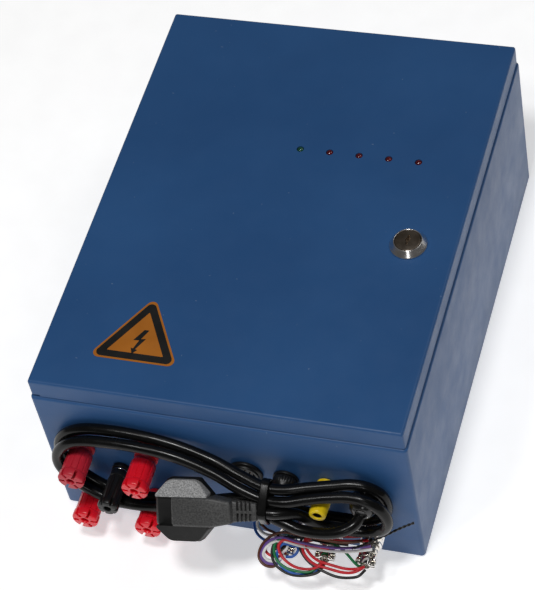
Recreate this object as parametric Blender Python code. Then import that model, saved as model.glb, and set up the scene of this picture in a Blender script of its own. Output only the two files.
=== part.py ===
"""Wall-mounted pulse energizer for an electric fence, as an assembly of separate pieces.

Frame: the cabinet lies on its back, door up.  +Z points out of the door, +X towards the lock,
-Y out of the terminal panel.  The origin is the middle of the back face.  Units are metres.
"""

from math import cos, pi, radians, sin

import bmesh
import bpy
from mathutils import Matrix, Vector

MM = 0.001

# ---------------------------------------------------------------- driving dimensions
WIDTH = 250 * MM            # cabinet across, X
LENGTH = 332 * MM           # cabinet along, Y
DEPTH = 136.5 * MM          # wall to door face, Z
SHEET = 1.5 * MM            # folded steel sheet
SKIRT = 14 * MM             # the door's folded edge
DOOR_INSET = 1.2 * MM       # the door stands this far inside the cabinet's outline
DOOR_GAP = 2 * MM           # between the skirt and the cabinet's front
LIP_WIDTH = 16.5 * MM       # the cabinet's front edge, folded inwards
UPSTAND = 7.5 * MM          # rain lip that the gasket closes on
FIT = 0.3 * MM              # clearance between touching pieces

# ---------------------------------------------------------------- worked-out planes
FRONT = DEPTH - SKIRT - DOOR_GAP
PANEL_Y = -LENGTH / 2
DOOR_INNER = DEPTH - SHEET
LIP_UNDER = FRONT - SHEET
HINGE_X = -(WIDTH / 2 - DOOR_INSET - 5 * MM)
HINGE_Z = DEPTH - 6.5 * MM
HINGE_Y = 118 * MM

# ---------------------------------------------------------------- positions on the door
LOCK_XY = (92 * MM, -18 * MM)
LED_Y = 52 * MM
LED_XS = [0.0, 20.5 * MM, 41 * MM, 61.5 * MM, 82 * MM]
BOARD_STUD_XS = (-8 * MM, 90 * MM)
LABEL_CENTRE = (-60.5 * MM, -121 * MM)

# ---------------------------------------------------------------- positions on the terminal panel (X, Z)
UPPER_ROW = 72 * MM
LOWER_ROW = 26 * MM
RED_POSTS = {
    "out_pos": (-98 * MM, UPPER_ROW),
    "out_neg": (-98 * MM, LOWER_ROW),
    "in_pos": (-54 * MM, UPPER_ROW),
    "in_neg": (-54 * MM, LOWER_ROW),
}
GROUND_POST = (-75 * MM, 53 * MM)
SOCKET_AT = (13.5 * MM, 71 * MM)
FUSE_AT = (40.5 * MM, 71 * MM)
SHIELD_POST = (67.5 * MM, 71 * MM)
GLAND_AT = (94.5 * MM, 71 * MM)
LEAD_PLUGS = [(40.5 * MM, LOWER_ROW), (67.5 * MM, LOWER_ROW), (94.5 * MM, LOWER_ROW)]

# ---------------------------------------------------------------- the mains cord
CORD_DIAMETER = 7 * MM
CORD_POINTS = 80            # along the tube
BEND_WEIGHT = 25 * MM       # a radian of bend counts as this much length when the points are spread
# Route of the lead, in millimetres: out of the gland, twice round the posts in a tied hank, and into the plug.
CORD_ROUTE = [
    # from the gland to the tie
    (94.5, -187, 71), (92.7, -192, 70.5), (88.3, -196, 69.2), (81.5, -198.4, 67.2), (73, -199.1, 65),
    (63, -198.6, 63.4), (55, -197.7, 63.2), (46, -195.9, 64.9), (34, -193.5, 66.9),
    # first lower strand, under the posts
    (23, -192.5, 66.8), (7, -188.5, 60.5), (-14, -183, 51), (-36, -178.5, 43),
    (-55, -177, 39.5), (-74, -176.3, 39.2), (-88, -174.5, 42.5), (-99, -173, 49),
    # round the output post and back along the top, next to the panel
    (-108.5, -171.6, 58), (-112.8, -171, 69.5), (-110.8, -170.5, 82.5), (-103, -170.4, 93), (-91, -170.4, 99.5),
    (-72, -170.4, 102), (-50, -170.5, 101), (-26, -171.2, 96.5), (-2, -174.2, 90.2), (17, -179.7, 86.2),
    (34, -184, 84),
    # over the shield post and round the gland
    (46, -183.5, 83.8), (60, -179.6, 83.4), (75, -175.8, 83), (87, -173, 85), (97, -172.2, 83.4),
    (105.3, -172, 77), (107.8, -172.1, 67), (106, -172.1, 56), (99, -172, 48), (88, -172.8, 44.6),
    (72, -176.5, 49.5), (57, -181.5, 58.5), (45.5, -185.6, 67.3), (34, -187.3, 72),
    # second lower strand
    (21.5, -186.6, 72), (5, -187.4, 68.8), (-14, -188.5, 60), (-36, -186.5, 47.5),
    (-55, -184.8, 40.5), (-74, -184, 39.5), (-87, -182.5, 42), (-98, -181, 47.5),
    # second loop and second top strand
    (-107.3, -179.6, 55.5), (-112.2, -178.8, 67), (-110.5, -178.3, 79), (-103, -178.1, 89.5), (-91, -178.1, 96.5),
    (-72, -178.1, 99.5), (-50, -178.3, 99.5), (-26, -179.1, 96), (-2, -182.2, 89.2), (17, -187.2, 83),
    (34, -190.1, 79.4),
    # over the shield post again, back to the tie and into the plug
    (47, -190.2, 80), (60, -187, 81), (75, -183.5, 81.5), (88, -182, 84.3), (98.5, -182.2, 82.9),
    (107, -182.6, 76.6), (110.5, -182.7, 66.5), (108.5, -182.3, 55.5), (100.5, -181.9, 48), (89, -182, 45.6),
    (76, -184.8, 50.5), (66.5, -187.2, 55.8), (59.5, -189.2, 63), (54, -191, 69.3), (48, -194, 73.2),
    (41, -196.3, 74.4), (35.5, -196.6, 74.7), (30.3, -196.4, 74.7),
]
TIE_X = 34

# ---------------------------------------------------------------- the low-voltage leads
LEAD_DIAMETER = 4.4 * MM
LEAD_POINTS = 26
LEAD_ROUTES = [
    [(40.5, -197.3, 26), (40.2, -201.5, 25.6), (35, -205, 25), (28, -203, 25.5), (24.5, -196, 28), (26, -188, 32),
     (33, -182.3, 36), (46, -180.2, 37.6), (60, -180.2, 37.8), (75, -180, 37.8), (88, -179, 37.6), (98, -176.5, 37.6)],
    [(67.5, -197.3, 26), (67, -201.5, 25.2), (61, -205, 25), (52, -205.5, 27.5), (43, -202.5, 31.3), (36, -197, 33.5),
     (35.5, -190.5, 35.5), (42, -186.5, 37.5), (60, -185.7, 38), (75, -185.5, 38), (89, -184.5, 37.8), (100, -182, 37.8)],
    [(94.5, -197.3, 26), (94, -201.5, 25), (87, -204.5, 25), (76, -204.5, 28), (66, -202, 31.3), (58.5, -197.5, 34.5),
     (57.5, -193, 37), (63, -191.2, 38), (73, -191, 38), (86, -190.4, 38), (97, -188, 38)],
]

# ---------------------------------------------------------------- colours: base colour, roughness, metallic
BLUE_PAINT = ((0.028, 0.085, 0.21), 0.42, 0.0)
ZINC = ((0.55, 0.56, 0.57), 0.38, 1.0)
CHROME = ((0.78, 0.77, 0.75), 0.12, 1.0)
BRONZE = ((0.16, 0.13, 0.10), 0.25, 1.0)
BRASS = ((0.72, 0.53, 0.25), 0.3, 1.0)
RED_PLASTIC = ((0.62, 0.02, 0.035), 0.32, 0.0)
YELLOW_PLASTIC = ((0.85, 0.62, 0.02), 0.35, 0.0)
BLACK_PLASTIC = ((0.012, 0.012, 0.013), 0.4, 0.0)
BLACK_PVC = ((0.009, 0.009, 0.010), 0.22, 0.0)
RUBBER = ((0.02, 0.02, 0.02), 0.85, 0.0)
BOARD_GREEN = ((0.01, 0.09, 0.035), 0.45, 0.0)
RESIN = ((0.03, 0.03, 0.035), 0.5, 0.0)
STEEL_CORE = ((0.25, 0.24, 0.23), 0.45, 0.9)
CAPACITOR_SLEEVE = ((0.02, 0.03, 0.09), 0.35, 0.0)
BATTERY_CASE = ((0.10, 0.10, 0.11), 0.6, 0.0)
ORANGE_FILM = ((0.55, 0.15, 0.01), 0.45, 0.0)
GREEN_LENS = ((0.02, 0.25, 0.05), 0.2, 0.0)
RED_LENS = ((0.22, 0.01, 0.01), 0.2, 0.0)
CLEAR_GLASS = ((0.75, 0.80, 0.80), 0.08, 0.0)
LEAD_PVC = ((0.35, 0.05, 0.25), 0.4, 0.0)


# ================================================================ helpers
def clear_scene():
    for old in list(bpy.data.objects):
        bpy.data.objects.remove(old, do_unlink=True)


def material(label, finish):
    colour, roughness, metallic = finish
    mat = bpy.data.materials.new(label)
    mat.use_nodes = True
    shader = mat.node_tree.nodes["Principled BSDF"]
    shader.inputs["Base Color"].default_value = (*colour, 1.0)
    shader.inputs["Roughness"].default_value = roughness
    shader.inputs["Metallic"].default_value = metallic
    return mat


def add_object(name, bm, finish, at=(0, 0, 0), turn=(0, 0, 0), parent=None, smooth=30):
    """Make one object from a bmesh.  at is a world position; a parent empty is only moved, never turned."""
    bmesh.ops.recalc_face_normals(bm, faces=bm.faces)
    mesh = bpy.data.meshes.new(name)
    bm.to_mesh(mesh)
    bm.free()
    if smooth:
        mesh.shade_smooth()
        mesh.set_sharp_from_angle(angle=radians(smooth))
    obj = bpy.data.objects.new(name, mesh)
    bpy.context.collection.objects.link(obj)
    obj.rotation_euler = turn
    obj.location = Vector(at)
    if parent:
        obj.parent = parent
        obj.location = Vector(at) - parent.location
    if finish:
        mesh.materials.append(material(name, finish))
    return obj


def add_axis(name, at):
    axis = bpy.data.objects.new(name, None)
    axis.empty_display_size = 10 * MM
    axis.location = at
    bpy.context.collection.objects.link(axis)
    return axis


def boolean(target, bm, operation):
    """Join to, or cut from, target the closed shapes in bm, given in target's own frame."""
    tool = add_object(target.name + "_" + operation.lower(), bm, None, smooth=0)
    tool.hide_render = True
    tool.display_type = "WIRE"
    tool.parent = target
    step = target.modifiers.new(operation.title(), "BOOLEAN")
    step.operation = operation
    step.solver = "EXACT"
    step.object = tool


def add_box(bm, low, high):
    size = Vector(high) - Vector(low)
    middle = (Vector(high) + Vector(low)) / 2
    bmesh.ops.create_cube(bm, size=1.0, matrix=Matrix.Translation(middle) @ Matrix.Diagonal((*size, 1.0)))


def box(low, high, bevel=0.0):
    bm = bmesh.new()
    add_box(bm, low, high)
    if bevel:
        bmesh.ops.bevel(bm, geom=list(bm.edges), offset=bevel, segments=1, affect="EDGES", clamp_overlap=True)
    return bm


def add_rings(bm, rings, closed=False):
    """Skin a stack of equal rings of points.  An open stack is capped at both ends."""
    rows = [[bm.verts.new(p) for p in ring] for ring in rings]
    pairs = list(zip(rows, rows[1:]))
    if closed:
        pairs.append((rows[-1], rows[0]))
    for low, high in pairs:
        count = len(low)
        for i in range(count):
            j = (i + 1) % count
            bm.faces.new((low[i], low[j], high[j], high[i]))
    if not closed:
        bm.faces.new(rows[0][::-1])
        bm.faces.new(rows[-1])


def circle(radius, height, segments, at=(0, 0)):
    angles = [2 * pi * i / segments for i in range(segments)]
    return [(at[0] + radius * cos(a), at[1] + radius * sin(a), height) for a in angles]


def add_turned(bm, profile, segments=20, at=(0, 0), closed=False):
    """Turn (radius, height) points, in millimetres, about local Z.  closed makes a ring with a bore."""
    add_rings(bm, [circle(r * MM, h * MM, segments, at) for r, h in profile], closed)


def turned(profile, segments=20, closed=False):
    bm = bmesh.new()
    add_turned(bm, profile, segments, closed=closed)
    return bm


def rounded_rectangle(width, length, height, radius, corner_steps=3):
    """One ring: a rectangle in XY, centred, with rounded corners."""
    points = []
    corners = [(1, 1, 0), (-1, 1, 90), (-1, -1, 180), (1, -1, 270)]
    for sign_x, sign_y, start in corners:
        centre_x = sign_x * (width / 2 - radius)
        centre_y = sign_y * (length / 2 - radius)
        for step in range(corner_steps + 1):
            angle = radians(start + 90 * step / corner_steps)
            points.append((centre_x + radius * cos(angle), centre_y + radius * sin(angle), height))
    return points


def inset_rings(profile, corner=3 * MM, least=0.5 * MM):
    """Rings of the cabinet's outline, from (inset, height) points in metres."""
    return [
        rounded_rectangle(WIDTH - 2 * inset, LENGTH - 2 * inset, height, max(corner - inset, least))
        for inset, height in profile
    ]


def out_of_panel(spot, out=0.0):
    """World position of a point on the terminal panel, out metres in front of it."""
    return (spot[0], PANEL_Y - out, spot[1])


PANEL_TURN = (pi / 2, 0, 0)     # local +Z points out of the terminal panel


def catmull_rom(route):
    """Fine points on the centripetal Catmull-Rom curve through the route (millimetres), in metres."""
    knots = [Vector(p) * MM for p in route]
    knots = [2 * knots[0] - knots[1]] + knots + [2 * knots[-1] - knots[-2]]
    fine = []
    for i in range(1, len(knots) - 2):
        p0, p1, p2, p3 = knots[i - 1:i + 3]
        t1 = (p1 - p0).length ** 0.5
        t2 = t1 + (p2 - p1).length ** 0.5
        t3 = t2 + (p3 - p2).length ** 0.5
        for step in range(24):
            t = t1 + (t2 - t1) * step / 24
            a1 = p0.lerp(p1, t / t1)
            a2 = p1.lerp(p2, (t - t1) / (t2 - t1))
            a3 = p2.lerp(p3, (t - t2) / (t3 - t2))
            b1 = a1.lerp(a2, t / t2)
            b2 = a2.lerp(a3, (t - t1) / (t3 - t1))
            fine.append(b1.lerp(b2, (t - t1) / (t2 - t1)))
    fine.append(knots[-2])
    return fine


def smooth_curve(route, count):
    """That many points along the route's curve, closer together where it bends."""
    fine = catmull_rom(route)
    steps = [b - a for a, b in zip(fine, fine[1:])]
    effort = [0.0]
    for before, after in zip([steps[0]] + steps, steps):
        effort.append(effort[-1] + after.length + BEND_WEIGHT * before.angle(after))
    points = []
    here = 0
    for i in range(count - 1):
        wanted = effort[-1] * i / (count - 1)
        while effort[here + 1] < wanted:
            here += 1
        share = (wanted - effort[here]) / (effort[here + 1] - effort[here])
        points.append(fine[here].lerp(fine[here + 1], share))
    return points + [fine[-1]]


def add_tube(name, route, diameter, count, finish, sides=2):
    """A cord: one curve with a round bevel and filled caps."""
    points = smooth_curve(route, count)
    curve = bpy.data.curves.new(name, "CURVE")
    curve.dimensions = "3D"
    curve.bevel_depth = diameter / 2
    curve.bevel_resolution = sides
    curve.use_fill_caps = True
    spline = curve.splines.new("POLY")
    spline.points.add(len(points) - 1)
    for point, place in zip(spline.points, points):
        point.co = (*place, 1.0)
    curve.materials.append(material(name, finish))
    obj = bpy.data.objects.new(name, curve)
    bpy.context.collection.objects.link(obj)
    return obj


# ================================================================ the cabinet
BACK_HOLES = [(sx * 98 * MM, sy * 140 * MM) for sx in (-1, 1) for sy in (-1, 1)]
PLATE_STUDS = [(sx * 88 * MM, sy * 122 * MM) for sx in (-1, 1) for sy in (-1, 1)]
PLATE_Z = 10 * MM
EYE_RADIUS = 3.2
EYE_BORE = 2.0
EYE_THICKNESS = 3 * MM
BASE_HOLE = 4.1             # radius, millimetres, for the posts' shanks


def cabinet_shell():
    profile = [
        (1.5 * MM, 0.0),
        (0.45 * MM, 0.45 * MM),
        (0.0, 1.5 * MM),
        (0.0, FRONT - 2 * MM),
        (0.6 * MM, FRONT - 0.6 * MM),
        (2 * MM, FRONT),
        (LIP_WIDTH, FRONT),
        (LIP_WIDTH, FRONT + UPSTAND),
        (LIP_WIDTH + SHEET, FRONT + UPSTAND),
        (LIP_WIDTH + SHEET, LIP_UNDER),
        (SHEET, LIP_UNDER),
        (SHEET, SHEET),
    ]
    bm = bmesh.new()
    add_rings(bm, inset_rings(profile))
    shell = add_object("cabinet_shell", bm, BLUE_PAINT)
    boolean(shell, cabinet_additions(), "UNION")
    boolean(shell, cabinet_holes(), "DIFFERENCE")


def cabinet_additions():
    """Welded on: the studs for the mounting plate, the earth stud and the two hinge brackets."""
    bm = bmesh.new()
    for spot in PLATE_STUDS:
        add_turned(bm, [(4, 0.7), (4, 9.7), (2, 9.7), (2, 17)], 12, spot)
    add_turned(bm, [(5, 0.7), (5, 4), (3, 4), (3, 22)], 12, (-20 * MM, -146 * MM))
    for side in (-1, 1):
        add_bracket(bm, side * (HINGE_Y + 2 * MM), FRONT - 1 * MM, HINGE_Z)
    return bm


def add_bracket(bm, middle_y, foot_z, eye_z):
    """A hinge bracket: a plate from foot_z to the hinge line, with a round eye.  One closed outline."""
    half = EYE_THICKNESS / 2
    radius = EYE_RADIUS * MM
    up = 1 if eye_z > foot_z else -1
    outline = [(HINGE_X + radius, foot_z), (HINGE_X - radius, foot_z)]
    for step in range(9):
        angle = pi - pi * step / 8
        outline.append((HINGE_X + radius * cos(angle), HINGE_Z + up * radius * sin(angle)))
    add_rings(bm, [[(x, middle_y + side * half, z) for x, z in outline] for side in (-1, 1)])


def add_cross_pin(bm, radius, centre_y, half_length):
    """A cylinder along Y on the hinge line."""
    ring = [(HINGE_X + radius * cos(2 * pi * i / 16), HINGE_Z + radius * sin(2 * pi * i / 16)) for i in range(16)]
    add_rings(bm, [[(x, centre_y + side * half_length, z) for x, z in ring] for side in (-1, 1)])


def add_panel_hole(bm, spot, radius):
    """A hole through the terminal panel."""
    ring = [(spot[0] + radius * cos(2 * pi * i / 24), spot[1] + radius * sin(2 * pi * i / 24)) for i in range(24)]
    add_rings(bm, [[(x, y, z) for x, z in ring] for y in (PANEL_Y - 2 * MM, PANEL_Y + 3 * MM)])


def cabinet_holes():
    bm = bmesh.new()
    for spot in [*RED_POSTS.values(), GROUND_POST]:
        add_panel_hole(bm, spot, BASE_HOLE * MM)
    add_panel_hole(bm, SHIELD_POST, BASE_HOLE * MM)
    add_panel_hole(bm, SOCKET_AT, 9.4 * MM)
    add_panel_hole(bm, FUSE_AT, 6.6 * MM)
    add_panel_hole(bm, GLAND_AT, 7.0 * MM)
    for spot in LEAD_PLUGS:
        add_panel_hole(bm, spot, 6.1 * MM)
    for spot in BACK_HOLES:
        add_turned(bm, [(3.5, -2), (3.5, 4)], 16, spot)
    for side in (-1, 1):
        add_cross_pin(bm, EYE_BORE * MM, side * (HINGE_Y + 2 * MM), 2.5 * MM)
    return bm


def hinge_pins():
    profile = [(2.7, -5.2), (2.7, -4.2), (1.6, -4.2), (1.6, 4.2), (2.7, 4.2), (2.7, 5.2)]
    for name, side in (("hinge_pin_upper", 1), ("hinge_pin_lower", -1)):
        bm = turned(profile, 16)
        add_object(name, bm, ZINC, at=(HINGE_X, side * HINGE_Y, HINGE_Z), turn=PANEL_TURN)


# ================================================================ inside the cabinet
def mounting_plate():
    bm = box((-97 * MM, -131 * MM, PLATE_Z), (97 * MM, 131 * MM, PLATE_Z + SHEET))
    plate = add_object("mounting_plate", bm, ZINC, smooth=0)
    holes = bmesh.new()
    for spot in PLATE_STUDS:
        add_turned(holes, [(2.5, 8), (2.5, 14)], 12, spot)
    boolean(plate, holes, "DIFFERENCE")


ON_PLATE = PLATE_Z + SHEET + FIT


def main_board():
    """The charging and timing board, on four spacers, with its tall components."""
    floor = ON_PLATE + 8 * MM
    top = floor + 1.6 * MM
    board = add_object("main_board", box((-92 * MM, 16 * MM, floor), (18 * MM, 112 * MM, top)), BOARD_GREEN, smooth=0)
    parts = bmesh.new()
    for spot in ((-86 * MM, 22 * MM), (12 * MM, 22 * MM), (-86 * MM, 106 * MM), (12 * MM, 106 * MM)):
        add_turned(parts, [(3, ON_PLATE / MM), (3, floor / MM + 0.5)], 8, spot)
    blocks = [
        ((-84, 88), (-40, 108), 14),     # terminal strip
        ((-30, 86), (-12, 106), 20),     # relay
        ((-8, 86), (10, 106), 20),       # relay
        ((-84, 26), (-68, 70), 32),      # heat sink
        ((-60, 60), (-44, 74), 12),      # controller
        ((-20, 24), (6, 44), 24),        # filter choke
    ]
    for low, high, height in blocks:
        low_corner = (low[0] * MM, low[1] * MM, top - 0.5 * MM)
        add_box(parts, low_corner, (high[0] * MM, high[1] * MM, top + height * MM))
    for x, y in ((-50, 34), (-34, 34), (-50, 50)):
        add_turned(parts, [(6, top / MM - 0.5), (6, top / MM + 24)], 12, (x * MM, y * MM))
    boolean(board, parts, "UNION")


def pulse_transformer():
    """The resin-potted step-up transformer, with its two high-voltage terminals."""
    low = (-92 * MM, -78 * MM, ON_PLATE)
    bm = box(low, (-36 * MM, -14 * MM, ON_PLATE + 56 * MM), 2 * MM)
    block = add_object("pulse_transformer", bm, RESIN, smooth=0)
    terminals = bmesh.new()
    base = ON_PLATE / MM + 55
    for x in (-78 * MM, -50 * MM):
        add_turned(terminals, [(6, base), (5, base + 9), (2, base + 9), (2, base + 17)], 12, (x, -46 * MM))
    boolean(block, terminals, "UNION")


def mains_transformer():
    """Laminated core with its winding standing proud on both sides."""
    floor = ON_PLATE
    core = add_object("mains_transformer", box((34 * MM, 40 * MM, floor), (92 * MM, 68 * MM, floor + 48 * MM)), STEEL_CORE, smooth=0)
    extra = box((43 * MM, 28 * MM, floor + 9 * MM), (83 * MM, 80 * MM, floor + 39 * MM), 3 * MM)
    add_box(extra, (34.5 * MM, 22 * MM, floor), (91.5 * MM, 86 * MM, floor + 2 * MM))
    boolean(core, extra, "UNION")


def storage_capacitor():
    base = ON_PLATE / MM
    profile = [(16, base), (17.5, base + 1.5), (17.5, base + 66), (16.5, base + 68), (14, base + 68), (14, base + 67)]
    bm = bmesh.new()
    add_turned(bm, profile, 24, (0, 0))
    add_object("storage_capacitor", bm, CAPACITOR_SLEEVE, at=(-10 * MM, -30 * MM, 0))


BATTERY_FOOT = -124 * MM
BATTERY_SIZE = (105 * MM, 65 * MM, 74 * MM)
BATTERY_X = 26 * MM


def backup_battery():
    """Sealed lead-acid battery lying along the terminal panel, with two flat tabs."""
    x0 = BATTERY_X - BATTERY_SIZE[0] / 2
    low = (x0, BATTERY_FOOT, ON_PLATE)
    high = (x0 + BATTERY_SIZE[0], BATTERY_FOOT + BATTERY_SIZE[1], ON_PLATE + BATTERY_SIZE[2])
    case = add_object("backup_battery", box(low, high, 2 * MM), BATTERY_CASE, smooth=0)
    tabs = bmesh.new()
    for x in (x0 + 12 * MM, x0 + BATTERY_SIZE[0] - 12 * MM):
        tab_y = high[1] - 12 * MM
        add_box(tabs, (x - 3 * MM, tab_y - 0.5 * MM, high[2] - 1 * MM), (x + 3 * MM, tab_y + 0.5 * MM, high[2] + 6 * MM))
    boolean(case, tabs, "UNION")


def battery_strap():
    """A sheet-metal strap over the battery, screwed to the mounting plate at both ends."""
    half = BATTERY_SIZE[0] / 2 + FIT
    top = ON_PLATE + BATTERY_SIZE[2] + FIT
    thick = 1.2 * MM
    foot = 12 * MM
    outer = [
        (-half - foot, ON_PLATE), (-half, ON_PLATE), (-half, top), (half, top), (half, ON_PLATE), (half + foot, ON_PLATE),
        (half + foot, ON_PLATE + thick), (half + thick, ON_PLATE + thick), (half + thick, top + thick),
        (-half - thick, top + thick), (-half - thick, ON_PLATE + thick), (-half - foot, ON_PLATE + thick),
    ]
    middle = BATTERY_FOOT + BATTERY_SIZE[1] / 2 - 6 * MM
    bm = bmesh.new()
    add_rings(bm, [[(BATTERY_X + x, middle + side * 9 * MM, z) for x, z in outer] for side in (-1, 1)])
    add_object("battery_strap", bm, ZINC, smooth=0)


TAMPER_X = 62 * MM
TAMPER_Y = LENGTH / 2 - LIP_WIDTH - SHEET - 8 * MM
PLUNGER_TRAVEL = 3 * MM


def tamper_switch():
    """Switch under the front lip; its plunger is held down by the closed door."""
    top = 119 * MM
    low = (TAMPER_X - 10 * MM, TAMPER_Y - 6 * MM, top - 20 * MM)
    high = (TAMPER_X + 10 * MM, TAMPER_Y + 6 * MM, top)
    body = add_object("tamper_switch", box(low, high), BLACK_PLASTIC, smooth=0)
    tab_top = LIP_UNDER - FIT
    tab = box((TAMPER_X - 10 * MM, TAMPER_Y + 5 * MM, tab_top - 3 * MM), (TAMPER_X + 10 * MM, TAMPER_Y + 21 * MM, tab_top))
    boolean(body, tab, "UNION")
    bore = bmesh.new()
    add_turned(bore, [(2.4, 103), (2.4, 121)], 16, (TAMPER_X, TAMPER_Y))
    boolean(body, bore, "DIFFERENCE")


def tamper_plunger():
    tip = (DOOR_INNER - FIT) / MM
    bm = turned([(2.0, -15), (2.0, tip - 125), (3.2, tip - 124), (3.2, tip - 123), (1.6, tip - 122)], 16)
    add_object("tamper_plunger", bm, RED_PLASTIC, at=(TAMPER_X, TAMPER_Y, 122 * MM))


# ================================================================ the door
def door_panel(axis):
    drop = SKIRT
    inset = DOOR_INSET
    profile = [
        (inset + SHEET, DEPTH - drop),
        (inset, DEPTH - drop),
        (inset, DEPTH - 2 * MM),
        (inset + 0.6 * MM, DEPTH - 0.6 * MM),
        (inset + 2 * MM, DEPTH),
    ]
    inside = [(inset + SHEET, DOOR_INNER)]
    bm = bmesh.new()
    add_rings(bm, inset_rings(inside + profile))
    door = add_object("door_panel", bm, BLUE_PAINT, parent=axis)
    boolean(door, door_additions(), "UNION")
    boolean(door, door_holes(), "DIFFERENCE")


def door_additions():
    """Welded inside: two hinge eyes and the two studs that carry the indicator board."""
    bm = bmesh.new()
    for side in (-1, 1):
        add_bracket(bm, side * (HINGE_Y - 2 * MM), DOOR_INNER + 0.5 * MM, HINGE_Z - 0.001 * MM)
    top = DOOR_INNER / MM + 0.5
    for x in BOARD_STUD_XS:
        add_turned(bm, [(1.4, top - 16), (1.4, top - 8.7), (3, top - 8.7), (3, top)], 12, (x, LED_Y))
    return bm


def door_holes():
    bm = bmesh.new()
    low = DEPTH / MM - 4
    add_turned(bm, [(9.5, low), (9.5, low + 8)], 28, LOCK_XY)
    for x in LED_XS:
        add_turned(bm, [(2.8, low), (2.8, low + 8)], 16, (x, LED_Y))
    for side in (-1, 1):
        add_cross_pin(bm, EYE_BORE * MM, side * (HINGE_Y - 2 * MM), 2.5 * MM)
        near = side * (HINGE_Y - 6.5 * MM)
        far = side * (HINGE_Y + 6.5 * MM)
        low_corner = (-WIDTH / 2, min(near, far), DEPTH - SKIRT - 1 * MM)
        add_box(bm, low_corner, (HINGE_X - EYE_RADIUS * MM - 0.3 * MM, max(near, far), DOOR_INNER))
    return bm


def door_gasket(axis):
    """Foam strip stuck inside the door, closing on the cabinet's rain lip."""
    low = FRONT + UPSTAND + FIT
    high = DOOR_INNER - FIT
    outer, inner = 13.5 * MM, 21 * MM
    bm = bmesh.new()
    add_rings(bm, inset_rings([(outer, low), (outer, high), (inner, high), (inner, low)], corner=20 * MM), closed=True)
    add_object("door_gasket", bm, RUBBER, parent=axis, smooth=0)


def led_board(axis):
    top = DOOR_INNER - 8.7 * MM + 0.5 * MM - FIT
    bm = box((-14 * MM, LED_Y - 9 * MM, top - 1.6 * MM), (96 * MM, LED_Y + 9 * MM, top))
    board = add_object("led_board", bm, BOARD_GREEN, parent=axis, smooth=0)
    holes = bmesh.new()
    for x in BOARD_STUD_XS:
        add_turned(holes, [(1.8, top / MM - 4), (1.8, top / MM + 3)], 12, (x, LED_Y))
    boolean(board, holes, "DIFFERENCE")
    return top


def leds(axis, board_top):
    """Five 5 mm indicators, standing on the board and reaching through the door."""
    foot = (board_top + FIT - DEPTH) / MM
    profile = [
        (1.2, foot), (1.2, -4.2), (2.4, -4.2), (2.9, -3.6), (2.9, -2.8), (2.4, -2.8),
        (2.4, -0.6), (2.1, 0.3), (1.3, 0.95), (0.5, 1.2),
    ]
    names = ["led_power", "led_armed", "led_open_line", "led_short", "led_tamper"]
    for name, x in zip(names, LED_XS):
        finish = GREEN_LENS if name == "led_power" else RED_LENS
        add_object(name, turned(profile, 16), finish, at=(x, LED_Y, DEPTH), parent=axis, smooth=40)


def warning_label(axis):
    """Triangular film label with rounded corners."""
    corner = 4 * MM
    reach = 31 * MM - corner
    outline = []
    for k in range(3):
        toward = radians(90 + 120 * k)
        centre = (reach * cos(toward), reach * sin(toward))
        for step in range(5):
            angle = toward - radians(60) + radians(120) * step / 4
            outline.append((centre[0] + corner * cos(angle), centre[1] + corner * sin(angle)))
    bm = bmesh.new()
    add_rings(bm, [[(x, y, z) for x, y in outline] for z in (FIT, FIT + 0.3 * MM)])
    add_object("warning_label", bm, ORANGE_FILM, at=(*LABEL_CENTRE, DEPTH), parent=axis, smooth=0)


# ================================================================ the cam lock
BARREL_END = -17.0          # millimetres below the door face


def lock_housing(axis):
    profile = [
        (5.5, BARREL_END), (9.0, BARREL_END), (9.0, 0.3), (12.0, 0.3), (12.0, 1.2),
        (10.0, 4.8), (9.0, 4.8), (9.0, 3.4), (5.5, 3.4),
    ]
    add_object("lock_housing", turned(profile, 32, closed=True), CHROME, at=(*LOCK_XY, DEPTH), parent=axis)


def lock_nut(axis):
    """A flat hexagonal nut round the housing, behind the door's sheet."""
    bm = bmesh.new()
    inner = circle(9.4 * MM, 0, 24)
    outer = []
    for i in range(24):
        angle = 2 * pi * i / 24
        flat = cos(pi / 6) / cos((angle + pi / 6) % (pi / 3) - pi / 6)
        outer.append((13 * MM * flat * cos(angle), 13 * MM * flat * sin(angle)))
    low, high = -5.8 * MM, -1.8 * MM
    rings = [
        [(x, y, low) for x, y, _ in inner], [(x, y, low) for x, y in outer],
        [(x, y, high) for x, y in outer], [(x, y, high) for x, y, _ in inner],
    ]
    add_rings(bm, rings, closed=True)
    add_object("lock_nut", bm, ZINC, at=(*LOCK_XY, DEPTH), parent=axis)


def lock_core(axis):
    """The plug that the key turns: face disc, barrel and the square end for the cam."""
    bottom = BARREL_END - 0.4
    profile = [
        (1.95, bottom + 4), (1.95, bottom - 2.7), (3.0, bottom - 2.7), (3.0, bottom), (5.1, bottom),
        (5.1, 3.8), (8.6, 3.8), (8.6, 4.7), (8.2, 5.0),
    ]
    core = add_object("lock_core", turned(profile, 24), BRONZE, at=(*LOCK_XY, DEPTH), parent=axis)
    keyhole = box((-1.1 * MM, -4 * MM, 1 * MM), (1.1 * MM, 4 * MM, 7 * MM))
    boolean(core, keyhole, "DIFFERENCE")


def lock_cam(axis):
    """The latch arm.  At rest it points along -Y, clear of the lip; a quarter turn locks it."""
    low = BARREL_END - 0.8 - 2.0
    bm = box((-7 * MM, -24 * MM, low * MM), (7 * MM, 7 * MM, (low + 2) * MM))
    cam = add_object("lock_cam", bm, ZINC, at=(*LOCK_XY, DEPTH), parent=axis, smooth=0)
    hole = bmesh.new()
    add_turned(hole, [(3.3, low - 2), (3.3, low + 4)], 16)
    boolean(cam, hole, "DIFFERENCE")


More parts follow.
